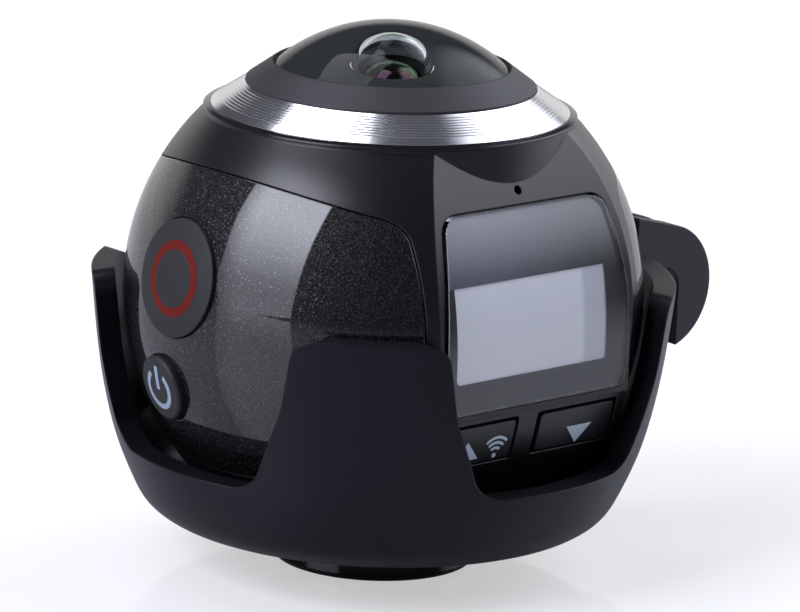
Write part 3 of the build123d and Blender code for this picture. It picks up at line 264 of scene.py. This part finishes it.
# Side panels: glossy caps of black acrylic with fine metal flake under a clear lacquer.
# The flakes twinkle one by one, and the lacquer mirrors the soft boxes with a sharp edge. Real flakes
# are about 0.05 mm across, and are drawn at 0.12 mm so that they show.
flake_size = 0.12 * mm
tree = start_material("black_flake_lacquer")
where = add_node(tree, "ShaderNodeTexCoord").outputs["Object"]
flakes = add_node(tree, "ShaderNodeTexVoronoi", Vector=where, Scale=1 / flake_size)
chance = add_node(tree, "ShaderNodeSeparateColor", _0=flakes.outputs["Color"])
lit = add_node(tree, "ShaderNodeMapRange", Value=chance.outputs[0], From_Min=0.80, From_Max=1.0)
core = add_node(tree, "ShaderNodeMapRange", Value=flakes.outputs["Distance"], From_Min=0.55,
                From_Max=0.15)
flake = add_node(tree, "ShaderNodeMath", times, _0=lit.outputs[0], _1=core.outputs[0])
tint = add_node(tree, "ShaderNodeMix", two_colours, Factor=flake.outputs[0], _6=linear("0a0a0b"),
                _7=linear("80838c"))
tilt = add_node(tree, "ShaderNodeVectorMath", {"operation": "SUBTRACT"}, _0=flakes.outputs["Color"],
                _1=(0.5, 0.5, 0.5))
spread = add_node(tree, "ShaderNodeVectorMath", {"operation": "SCALE"}, _0=tilt.outputs[0], Scale=0.5)
plain = add_node(tree, "ShaderNodeNewGeometry").outputs["Normal"]
leaned = add_node(tree, "ShaderNodeVectorMath", {"operation": "ADD"}, _0=plain, _1=spread.outputs[0])
facing = add_node(tree, "ShaderNodeVectorMath", {"operation": "NORMALIZE"}, _0=leaned.outputs[0])
rounded = add_node(tree, "ShaderNodeBevel", {"samples": 4}, Radius=0.25 * mm)
shader = add_node(tree, "ShaderNodeBsdfPrincipled", Base_Color=tint.outputs[2], Metallic=flake.outputs[0],
                  Roughness=0.40, Specular_IOR_Level=0.1, Coat_Weight=1.0, Coat_Roughness=0.03, Coat_IOR=1.5,
                  Normal=facing.outputs[0], Coat_Normal=rounded.outputs[0])
finish_material(tree, shader, "record_side_panel", "plain_side_panel")


# Round buttons: matt silicone caps, the larger with a dark red light ring moulded into it.
# The ring is a translucent insert, and the smaller cap carries a printed standby mark.
tree = start_material("matt_grey_silicone")
shader = add_node(tree, "ShaderNodeBsdfPrincipled", Base_Color=linear("19191c"), Roughness=0.55,
                  Specular_IOR_Level=0.4, Normal=skin_bump(tree, 0.12 * mm, 0.15, 0.01 * mm, 0.35 * mm))
finish_material(tree, shader, "record_button", "power_button")

tree = start_material("red_translucent_ring")
shader = add_node(tree, "ShaderNodeBsdfPrincipled", Base_Color=linear("5c120b"), Roughness=0.6,
                  Specular_IOR_Level=0.15, Subsurface_Weight=0.2,
                  Subsurface_Radius=(0.6 * mm, 0.15 * mm, 0.1 * mm),
                  Normal=skin_bump(tree, 0.12 * mm, 0.1, 0.01 * mm, 0.1 * mm))
finish_material(tree, shader, "record_light_ring")

tree = start_material("clear_light_pipe")
shader = add_node(tree, "ShaderNodeBsdfPrincipled", Base_Color=linear("1a1b1e"), Roughness=0.15)
finish_material(tree, shader, "status_light_pipe")


def thin_sheet(name, mesh, thickness):
    """An object that gives a flat mesh its thickness, half of it to each side."""
    made = bpy.data.objects.new(name, mesh)
    bpy.context.collection.objects.link(made)
    depth = made.modifiers.new("thickness", "SOLIDIFY")
    depth.thickness = thickness
    depth.offset = 0
    return made


def printed(name, outlines, surface, body, thickness=0.03 * mm, slices=12):
    """Ink on a surface: flat outlines of (across, height) in metres, cut fine and laid on the surface."""
    shape = bmesh.new()
    for outline in outlines:
        shape.faces.new([shape.verts.new((a, 0, h)) for a, h in outline])
    low = min(v.co.z for v in shape.verts)
    high = max(v.co.z for v in shape.verts)
    for k in range(1, slices):
        level = low + (high - low) * k / slices
        bmesh.ops.bisect_plane(shape, geom=shape.verts[:] + shape.edges[:] + shape.faces[:],
                               plane_co=(0, 0, level), plane_no=(0, 0, 1))
    bmesh.ops.triangulate(shape, faces=shape.faces[:])
    for v in shape.verts:
        v.co = surface(v.co.x, v.co.z)
    mesh = bpy.data.meshes.new(name)
    shape.to_mesh(mesh)
    shape.free()
    mark = thin_sheet(name, mesh, thickness)
    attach(mark, body)
    return mark


def ring_strip(centre_a, centre_h, radius, width, start, end, steps=28):
    """Outline of a part of a flat ring, from one angle to another in degrees."""
    angles = [math.radians(start + (end - start) * k / steps) for k in range(steps + 1)]
    rounds = [(radius + width / 2, a) for a in angles] + [(radius - width / 2, a) for a in reversed(angles)]
    return [(centre_a + r * math.sin(a), centre_h + r * math.cos(a)) for r, a in rounds]


ball_z = 31.799 * mm
ink_lift = 0.012 * mm
tree = start_material("pale_blue_ink")
shader = add_node(tree, "ShaderNodeBsdfPrincipled", Base_Color=linear("c9d6e6"), Roughness=0.55,
                  Specular_IOR_Level=0.3)
pale_ink = finish_material(tree, shader)
tree = start_material("grey_blue_ink")
shader = add_node(tree, "ShaderNodeBsdfPrincipled", Base_Color=linear("8794a6"), Roughness=0.6,
                  Specular_IOR_Level=0.3)
grey_ink = finish_material(tree, shader)


def power_cap(across, height):
    """Point on the power button's crown, a sphere about the ball's centre."""
    crown = 31.5 * mm + ink_lift
    return Vector((-math.sqrt(crown ** 2 - across ** 2 - (height - ball_z) ** 2), across, height))


power_y, power_z = 4.3 * mm, ball_z - 8.2 * mm
mark_radius, mark_width, mark_gap = 2.1 * mm, 0.62 * mm, 36
bar_low, bar_high = power_z - 0.1 * mm, power_z + 2.7 * mm
bar_left, bar_right = power_y - mark_width / 2, power_y + mark_width / 2
standby = printed("power_mark",
                  [ring_strip(power_y, bar_low, mark_radius, mark_width, mark_gap, 360 - mark_gap),
                   [(bar_left, bar_low), (bar_right, bar_low), (bar_right, bar_high), (bar_left, bar_high)]],
                  power_cap, "power_button")
standby.data.materials.append(grey_ink)


# Up and down keys: two satin black rockers let into the lower facet, a fixed bar between them.
# Each carries a printed triangle, and the left one the three arcs of a wireless link.
tree = start_material("satin_black_keys")
shader = add_node(tree, "ShaderNodeBsdfPrincipled", Base_Color=linear("1c1d20"), Roughness=0.36,
                  Specular_IOR_Level=0.5, Normal=skin_bump(tree, 0.15 * mm, 0.1, 0.01 * mm, 0.3 * mm))
finish_material(tree, shader, "up_button", "down_button")


facet_knee, facet_curve, facet_axis = 29.999 * mm, 39.4 * mm, 12.7 * mm
key_sink = 0.2 * mm


def key_face(across, height):
    """Point on the face of the keys, which follows the facet's curve a little below it."""
    drop = facet_knee - height
    return Vector((across, facet_axis - math.sqrt((facet_curve - key_sink) ** 2 - drop ** 2) - ink_lift,
                   height))


key_foot = 18.45 * mm
up_peak, down_top, down_tip = key_foot + 2.3 * mm, key_foot + 1.8 * mm, key_foot - 0.45 * mm
up_mark = printed("up_mark", [[(-11.1 * mm, key_foot), (-6.95 * mm, key_foot), (-9.0 * mm, up_peak)]],
                  key_face, "up_button")
arc_x, arc_width, arc_reach, dot_radius, dot_sides = -4.45 * mm, 0.34 * mm, 43, 0.3 * mm, 16
arcs = [ring_strip(arc_x, key_foot, r * mm, arc_width, -arc_reach, arc_reach, 16) for r in (0.95, 1.6, 2.25)]
dot_turns = [2 * math.pi * k / dot_sides for k in range(dot_sides)]
dot = [(arc_x + dot_radius * math.cos(a), key_foot + dot_radius * math.sin(a)) for a in dot_turns]
link_mark = printed("wireless_mark", arcs + [dot], key_face, "up_button")
down_mark = printed("down_mark", [[(6.4 * mm, down_top), (8.35 * mm, down_tip), (10.3 * mm, down_top)]],
                    key_face, "down_button")
for mark in (up_mark, link_mark, down_mark):
    mark.data.materials.append(pale_ink)


# Display: a clear acrylic window over a reflective liquid crystal panel.
# A pearl grey print on the window's back leaves a rectangle free over the panel. Its lighter upper left
# and darker foot and right are a painted reflection, not the print's own tone. A low refractive index keeps
# the window's mirror image as weak as it looks.
def lit_through(tree, glass, tone):
    """Glass that is clear to the lamps' light, so that what lies behind it isn't in its shadow."""
    path = add_node(tree, "ShaderNodeLightPath").outputs
    open_air = add_node(tree, "ShaderNodeBsdfTransparent", Color=tone)
    return add_node(tree, "ShaderNodeMixShader", _0=path["Is Shadow Ray"], _1=glass.outputs[0],
                    _2=open_air.outputs[0])


tree = start_material("clear_acrylic_window")
rounded = add_node(tree, "ShaderNodeBevel", {"samples": 4}, Radius=0.25 * mm)
glass = add_node(tree, "ShaderNodeBsdfPrincipled", Base_Color=linear("fafbfd"), Roughness=0.02, IOR=1.38,
                 Transmission_Weight=1.0, Normal=rounded.outputs[0])
finish_material(tree, lit_through(tree, glass, (0.9, 0.9, 0.92, 1)), "display_window")

tree = start_material("liquid_crystal_glass")
where = add_node(tree, "ShaderNodeTexCoord").outputs["Object"]
cells = add_node(tree, "ShaderNodeTexNoise", Vector=where, Scale=1 / (0.25 * mm), Detail=1.0)
tint = add_node(tree, "ShaderNodeMix", two_colours, Factor=cells.outputs[0], _6=linear("a9afba"),
                _7=linear("b4b9c4"))
shader = add_node(tree, "ShaderNodeBsdfPrincipled", Base_Color=tint.outputs[2], Roughness=0.3,
                  Specular_IOR_Level=0.5)
finish_material(tree, shader, "lcd_panel")

tree = start_material("pearl_grey_print")
where = add_node(tree, "ShaderNodeTexCoord").outputs["Object"]
pearl = add_node(tree, "ShaderNodeTexNoise", Vector=where, Scale=1 / (0.1 * mm), Detail=1.0)
part = add_node(tree, "ShaderNodeSeparateXYZ", _0=where).outputs
upward = add_node(tree, "ShaderNodeMapRange", soft_step, Value=part["Z"], From_Min=27 * mm,
                  From_Max=41 * mm).outputs[0]
leftward = add_node(tree, "ShaderNodeMapRange", soft_step, Value=part["X"], From_Min=15 * mm,
                    From_Max=-6 * mm).outputs[0]
# Painted reflection: the print is lighter towards its top and left, and darker towards its foot and right.
painted_reflection_share = add_node(tree, "ShaderNodeMath", times, _0=upward, _1=leftward).outputs[0]
tint = add_node(tree, "ShaderNodeMix", two_colours, Factor=painted_reflection_share, _6=linear("0a0a0d"),
                _7=linear("50525a"))
speck = add_node(tree, "ShaderNodeMapRange", Value=pearl.outputs[0], To_Min=0.36, To_Max=0.48)
shader = add_node(tree, "ShaderNodeBsdfPrincipled", Base_Color=tint.outputs[2],
                  Roughness=speck.outputs[0], Metallic=0.25)
print_ink_and_painted_reflection = finish_material(tree, shader)

window_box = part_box("display_window")
end_margin, side_margin, back_depth = 0.15 * mm, 0.45 * mm, 0.52 * mm
window_low, window_high = window_box[0][2] + end_margin, window_box[1][2] - end_margin
foot_half, side_swell, side_taper = 13.9 * mm, 1.05 * mm, 2.75 * mm
hole_left, hole_right, hole_low, hole_high = -13.3 * mm, 10.9 * mm, 28.1 * mm, 39.0 * mm
print_rows, film_rows = 24, 12


def window_back(across, height):
    """Point on the back of the window: straight below the facet's knee, and curved with the facet above."""
    rise = max(height - facet_knee, 0)
    return Vector((across, facet_axis - math.sqrt((facet_curve - back_depth) ** 2 - rise ** 2), height))


levels = [window_low + (window_high - window_low) * k / print_rows for k in range(print_rows + 1)]
levels = sorted(levels + [hole_low, hole_high])
points, faces = [], []
for level in levels:
    share = (level - window_low) / (window_high - window_low)
    half = foot_half + side_swell * share - side_taper * share ** 2 - side_margin
    points += [window_back(x, level) for x in (-half, hole_left, hole_right, half)]
for k, level in enumerate(levels[:-1]):
    for j in range(3):
        over_panel = j == 1 and hole_low <= level and levels[k + 1] <= hole_high
        if not over_panel:
            faces.append((4 * k + j, 4 * k + j + 1, 4 * k + j + 5, 4 * k + j + 4))
mesh = bpy.data.meshes.new("window_print")
mesh.from_pydata(points, [], faces)
window_print = thin_sheet("window_print", mesh, 0.02 * mm)
mesh.materials.append(print_ink_and_painted_reflection)
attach(window_print, "camera")

# Polariser: a thin reflective film on the panel's front, which gives an unlit display its silver grey.
# Its right end is darker in a soft band: a painted shadow of the print's edge.
film_left, film_right, film_low, film_high = -13.4 * mm, 11.4 * mm, 27.6 * mm, 39.5 * mm
behind_print = Vector((0, 0.14 * mm, 0))
points = []
for k in range(film_rows + 1):
    level = film_low + (film_high - film_low) * k / film_rows
    points += [window_back(x, level) + behind_print for x in (film_left, film_right)]
faces = [(2 * k, 2 * k + 1, 2 * k + 3, 2 * k + 2) for k in range(film_rows)]
mesh = bpy.data.meshes.new("display_polariser")
mesh.from_pydata(points, [], faces)
polariser = thin_sheet("display_polariser", mesh, 0.06 * mm)
tree = start_material("silver_polariser_film")
where = add_node(tree, "ShaderNodeTexCoord").outputs["Object"]
across = add_node(tree, "ShaderNodeSeparateXYZ", _0=where).outputs["X"]
# Painted shadow: the film turns darker past 7.8 mm across, towards its right end.
painted_shadow_band = add_node(tree, "ShaderNodeMapRange", Value=across, From_Min=7.0 * mm,
                   From_Max=7.8 * mm).outputs[0]
tint = add_node(tree, "ShaderNodeMix", two_colours, Factor=painted_shadow_band, _6=linear("dfe1e3"),
                _7=linear("c2c5c9"))
shader = add_node(tree, "ShaderNodeBsdfPrincipled", Base_Color=tint.outputs[2], Roughness=0.4,
                  Specular_IOR_Level=0.5)
mesh.materials.append(finish_material(tree, shader))
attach(polariser, "camera")


# Trim ring: turned aluminium with a bright chamfer that carries eight fine ribs.
# Each rib mirrors the whole room, which draws the bundles of dark lines in the white.
ring_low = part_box("trim_ring")[0][2]
neck = ring_low - 0.3 * mm
ring_step = neck + 1.92 * mm
ring_radius, collar_radius, bore_radius = 20.9 * mm, 16.97 * mm, 14.72 * mm
chamfer_foot = Vector((ring_radius, neck + 0.58 * mm))
chamfer_top = Vector((collar_radius, neck + 3.18 * mm))
profile = [Vector((bore_radius, ring_low)), Vector((ring_radius, ring_low)), chamfer_foot, chamfer_top,
           Vector((collar_radius, ring_step)), Vector((bore_radius, ring_step))]
round_steps = 320


def turned_piece(name, outline):
    """A closed outline of (radius, height) spun about the ball's axis."""
    turns = [2 * math.pi * s / round_steps for s in range(round_steps)]
    points = [(p.x * math.cos(turn), p.x * math.sin(turn), p.y) for turn in turns for p in outline]
    count = len(outline)
    faces = []
    for s in range(round_steps):
        here, ahead = s * count, (s + 1) % round_steps * count
        for k in range(count):
            upper = (k + 1) % count
            faces.append((here + k, ahead + k, ahead + upper, here + upper))
    mesh = bpy.data.meshes.new(name)
    mesh.from_pydata(points, [], faces)
    mesh.shade_smooth()
    mesh.set_sharp_from_angle(angle=math.radians(35))
    made = bpy.data.objects.new(name, mesh)
    bpy.context.collection.objects.link(made)
    return made


turned_ring = turned_piece("turned_trim_ring", profile)
tree = start_material("turned_aluminium")
where = add_node(tree, "ShaderNodeTexCoord").outputs["Object"]
streak = add_node(tree, "ShaderNodeTexNoise", Vector=where, Scale=1 / (0.8 * mm), Detail=3.0)
rough = add_node(tree, "ShaderNodeMapRange", Value=streak.outputs[0], To_Min=0.10, To_Max=0.16)
shader = add_node(tree, "ShaderNodeBsdfPrincipled", Base_Color=linear("ececef"), Metallic=1.0,
                  Roughness=rough.outputs[0])
ring_metal = finish_material(tree, shader)
turned_ring.data.materials.append(ring_metal)
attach(turned_ring, "camera")
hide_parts("trim_ring")

ribs = bpy.data.node_groups.new("turned_ribs", "GeometryNodeTree")
ribs.interface.new_socket(name="Ribs", in_out="OUTPUT", socket_type="NodeSocketGeometry")
rib_inputs = {}
for name, kind in (("Count", "Int"), ("Low Radius", "Float"), ("Low Height", "Float"),
                   ("High Radius", "Float"), ("High Height", "Float"), ("Rib Radius", "Float"),
                   ("Metal", "Material")):
    socket = ribs.interface.new_socket(name=name, in_out="INPUT", socket_type="NodeSocket" + kind)
    rib_inputs[name] = socket.identifier
given = add_node(ribs, "NodeGroupInput").outputs
low_end = add_node(ribs, "ShaderNodeCombineXYZ", Z=given["Low Height"]).outputs[0]
high_end = add_node(ribs, "ShaderNodeCombineXYZ", Z=given["High Height"]).outputs[0]
ladder = add_node(ribs, "GeometryNodeMeshLine", {"mode": "END_POINTS", "count_mode": "TOTAL"},
                  Count=given["Count"], Start_Location=low_end, Offset=high_end).outputs[0]
place = add_node(ribs, "GeometryNodeInputPosition").outputs[0]
level = add_node(ribs, "ShaderNodeSeparateXYZ", _0=place).outputs["Z"]
radius = add_node(ribs, "ShaderNodeMapRange", Value=level, From_Min=given["Low Height"],
                  From_Max=given["High Height"], To_Min=given["Low Radius"],
                  To_Max=given["High Radius"]).outputs[0]
share = add_node(ribs, "ShaderNodeMath", {"operation": "DIVIDE"}, _0=radius,
                 _1=given["Low Radius"]).outputs[0]
grown = add_node(ribs, "ShaderNodeCombineXYZ", X=share, Y=share, Z=1.0).outputs[0]
hoop = add_node(ribs, "GeometryNodeCurvePrimitiveCircle", {"mode": "RADIUS"}, Resolution=round_steps,
                Radius=given["Low Radius"]).outputs[0]
wire = add_node(ribs, "GeometryNodeCurvePrimitiveCircle", {"mode": "RADIUS"}, Resolution=10,
                Radius=given["Rib Radius"]).outputs[0]
rib = add_node(ribs, "GeometryNodeCurveToMesh", Curve=hoop, Profile_Curve=wire).outputs[0]
set_out = add_node(ribs, "GeometryNodeInstanceOnPoints", Points=ladder, Instance=rib,
                   Scale=grown).outputs[0]
solid = add_node(ribs, "GeometryNodeRealizeInstances", Geometry=set_out).outputs[0]
smooth = add_node(ribs, "GeometryNodeSetShadeSmooth", _0=solid).outputs[0]
coated = add_node(ribs, "GeometryNodeSetMaterial", Geometry=smooth, Material=given["Metal"]).outputs[0]
add_node(ribs, "NodeGroupOutput", _0=coated)

slope = chamfer_top - chamfer_foot
inward = Vector((-slope.y, slope.x)).normalized()
rib_count, rib_radius, rib_sink = 8, 0.11 * mm, 0.05 * mm
first_share, last_share = 0.27, 0.88
first = chamfer_foot + slope * first_share + inward * rib_sink
last = chamfer_foot + slope * last_share + inward * rib_sink
carrier = bpy.data.objects.new("trim_ring_ribs", bpy.data.meshes.new("trim_ring_ribs"))
bpy.context.collection.objects.link(carrier)
maker = carrier.modifiers.new("ribs", "NODES")
maker.node_group = ribs
for name, value in (("Count", rib_count), ("Low Radius", first.x), ("Low Height", first.y),
                    ("High Radius", last.x), ("High Height", last.y), ("Rib Radius", rib_radius),
                    ("Metal", ring_metal)):
    maker[rib_inputs[name]] = value
made = bpy.data.meshes.new_from_object(carrier.evaluated_get(bpy.context.evaluated_depsgraph_get()))
carrier.modifiers.remove(maker)
carrier.data = made
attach(carrier, "camera")


# Lens: a satin black bezel round a coated glass dome, with a smaller dome and its cell below it.
# The coatings throw back weak red light, and everything round the glass is matt black. Where a coating
# leaves hardly any mirror image, a refractive index under that of glass stands for it.
tree = start_material("satin_black_bezel")
shader = add_node(tree, "ShaderNodeBsdfPrincipled", Base_Color=linear("1d1c20"), Roughness=0.55,
                  Specular_IOR_Level=0.5, Normal=skin_bump(tree, 0.12 * mm, 0.12, 0.01 * mm, 0.2 * mm))
finish_material(tree, shader, "lens_bezel")

tree = start_material("matt_black_anodising")
shader = add_node(tree, "ShaderNodeBsdfPrincipled", Base_Color=linear("0c0c0e"), Roughness=0.6, Metallic=0.3,
                  Normal=skin_bump(tree, 0.1 * mm, 0.2, 0.01 * mm, 0.1 * mm))
finish_material(tree, shader, "lens_barrel", "lens_retainer", "bezel_nut", "dome_seal")

lens_shade = (0.9, 0.9, 0.9, 1)
for name, tone, film, index, nodes in (
        ("rose_coated_glass", "ab827c", 640.0, 1.28, ("second_lens",)),
        ("red_coated_glass", "ffe9e4", 640.0, 1.52, ("third_lens", "rear_lens_group")),
        ("green_coated_glass", "ffffff", 480.0, 1.52, ("infrared_filter",))):
    tree = start_material(name)
    glass = add_node(tree, "ShaderNodeBsdfPrincipled", Base_Color=linear(tone), Roughness=0.0, IOR=index,
                     Transmission_Weight=1.0, Thin_Film_Thickness=film, Thin_Film_IOR=1.38)
    finish_material(tree, lit_through(tree, glass, lens_shade), *nodes)

tree = start_material("broadband_coated_glass")
glass = add_node(tree, "ShaderNodeBsdfPrincipled", Base_Color=linear("e9f0ee"), Roughness=0.0, IOR=1.2,
                 Transmission_Weight=1.0)
finish_material(tree, lit_through(tree, glass, lens_shade), "dome_lens")

# Blacking: matt black paint on the glass below the dome's working part, so no stray light comes through.
seat = neck + 3.3 * mm
clear_radius, paint_radius, paint_low, paint_high = 4.3 * mm, 13.7 * mm, seat + 0.05 * mm, seat + 0.09 * mm
paint_outline = [Vector((clear_radius, paint_low)), Vector((paint_radius, paint_low)),
                 Vector((paint_radius, paint_high)), Vector((clear_radius, paint_high))]
painted = turned_piece("dome_blacking", paint_outline)
tree = start_material("matt_black_lens_paint")
grain = skin_bump(tree, 0.2 * mm, 0.1, 0.01 * mm, 0.05 * mm)
shader = add_node(tree, "ShaderNodeBsdfPrincipled", Base_Color=linear("060807"), Roughness=0.8,
                  Specular_IOR_Level=0.2, Normal=grain)
painted.data.materials.append(finish_material(tree, shader))
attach(painted, "camera")


# Inside: boards with green solder mask, moulded black parts, the battery and its tray.
# They show only when the port cover is open or the camera is taken apart, so they are kept plain.
tree = start_material("green_solder_mask")
where = add_node(tree, "ShaderNodeTexCoord").outputs["Object"]
tracks = add_node(tree, "ShaderNodeTexBrick", Vector=where, Scale=1 / (2.4 * mm), Color1=linear("14502c"),
                  Color2=linear("17592f"), Mortar=linear("1f7040"), Mortar_Size=0.02)
shader = add_node(tree, "ShaderNodeBsdfPrincipled", Base_Color=tracks.outputs[0], Roughness=0.32)
finish_material(tree, shader, "main_board", "sensor_board", "button_board", "side_board")

tree = start_material("moulded_black_parts")
shader = add_node(tree, "ShaderNodeBsdfPrincipled", Base_Color=linear("141415"), Roughness=0.55,
                  Normal=skin_bump(tree, 0.15 * mm, 0.1, 0.01 * mm, 0.1 * mm))
finish_material(tree, shader, "lcd_frame", "battery_tray", "memory_chip", "buzzer", "key_switches",
                "side_switches", "image_sensor")

tree = start_material("printed_battery_film")
where = add_node(tree, "ShaderNodeTexCoord").outputs["Object"]
film = add_node(tree, "ShaderNodeTexNoise", Vector=where, Scale=1 / (4 * mm), Detail=3.0)
tint = add_node(tree, "ShaderNodeMix", two_colours, Factor=film.outputs[0], _6=linear("3c4654"),
                _7=linear("465262"))
shader = add_node(tree, "ShaderNodeBsdfPrincipled", Base_Color=tint.outputs[2], Roughness=0.35)
finish_material(tree, shader, "battery")

tree = start_material("amber_polyimide")
shader = add_node(tree, "ShaderNodeBsdfPrincipled", Base_Color=linear("a8691f"), Roughness=0.25,
                  Normal=skin_bump(tree, 0.4 * mm, 0.05, 0.01 * mm, 0.05 * mm))
finish_material(tree, shader, "sensor_flex")

tree = start_material("turned_brass")
shader = add_node(tree, "ShaderNodeBsdfPrincipled", Base_Color=linear("cfa54e"), Metallic=1.0,
                  Roughness=0.28, Normal=skin_bump(tree, 0.2 * mm, 0.08, 0.01 * mm, 0.1 * mm))
finish_material(tree, shader, "tripod_insert", "wireless_antenna")

tree = start_material("die_cast_aluminium")
shader = add_node(tree, "ShaderNodeBsdfPrincipled", Base_Color=linear("8f9196"), Metallic=1.0,
                  Roughness=0.42, Normal=skin_bump(tree, 0.25 * mm, 0.15, 0.01 * mm, 0.2 * mm))
finish_material(tree, shader, "base_plate")
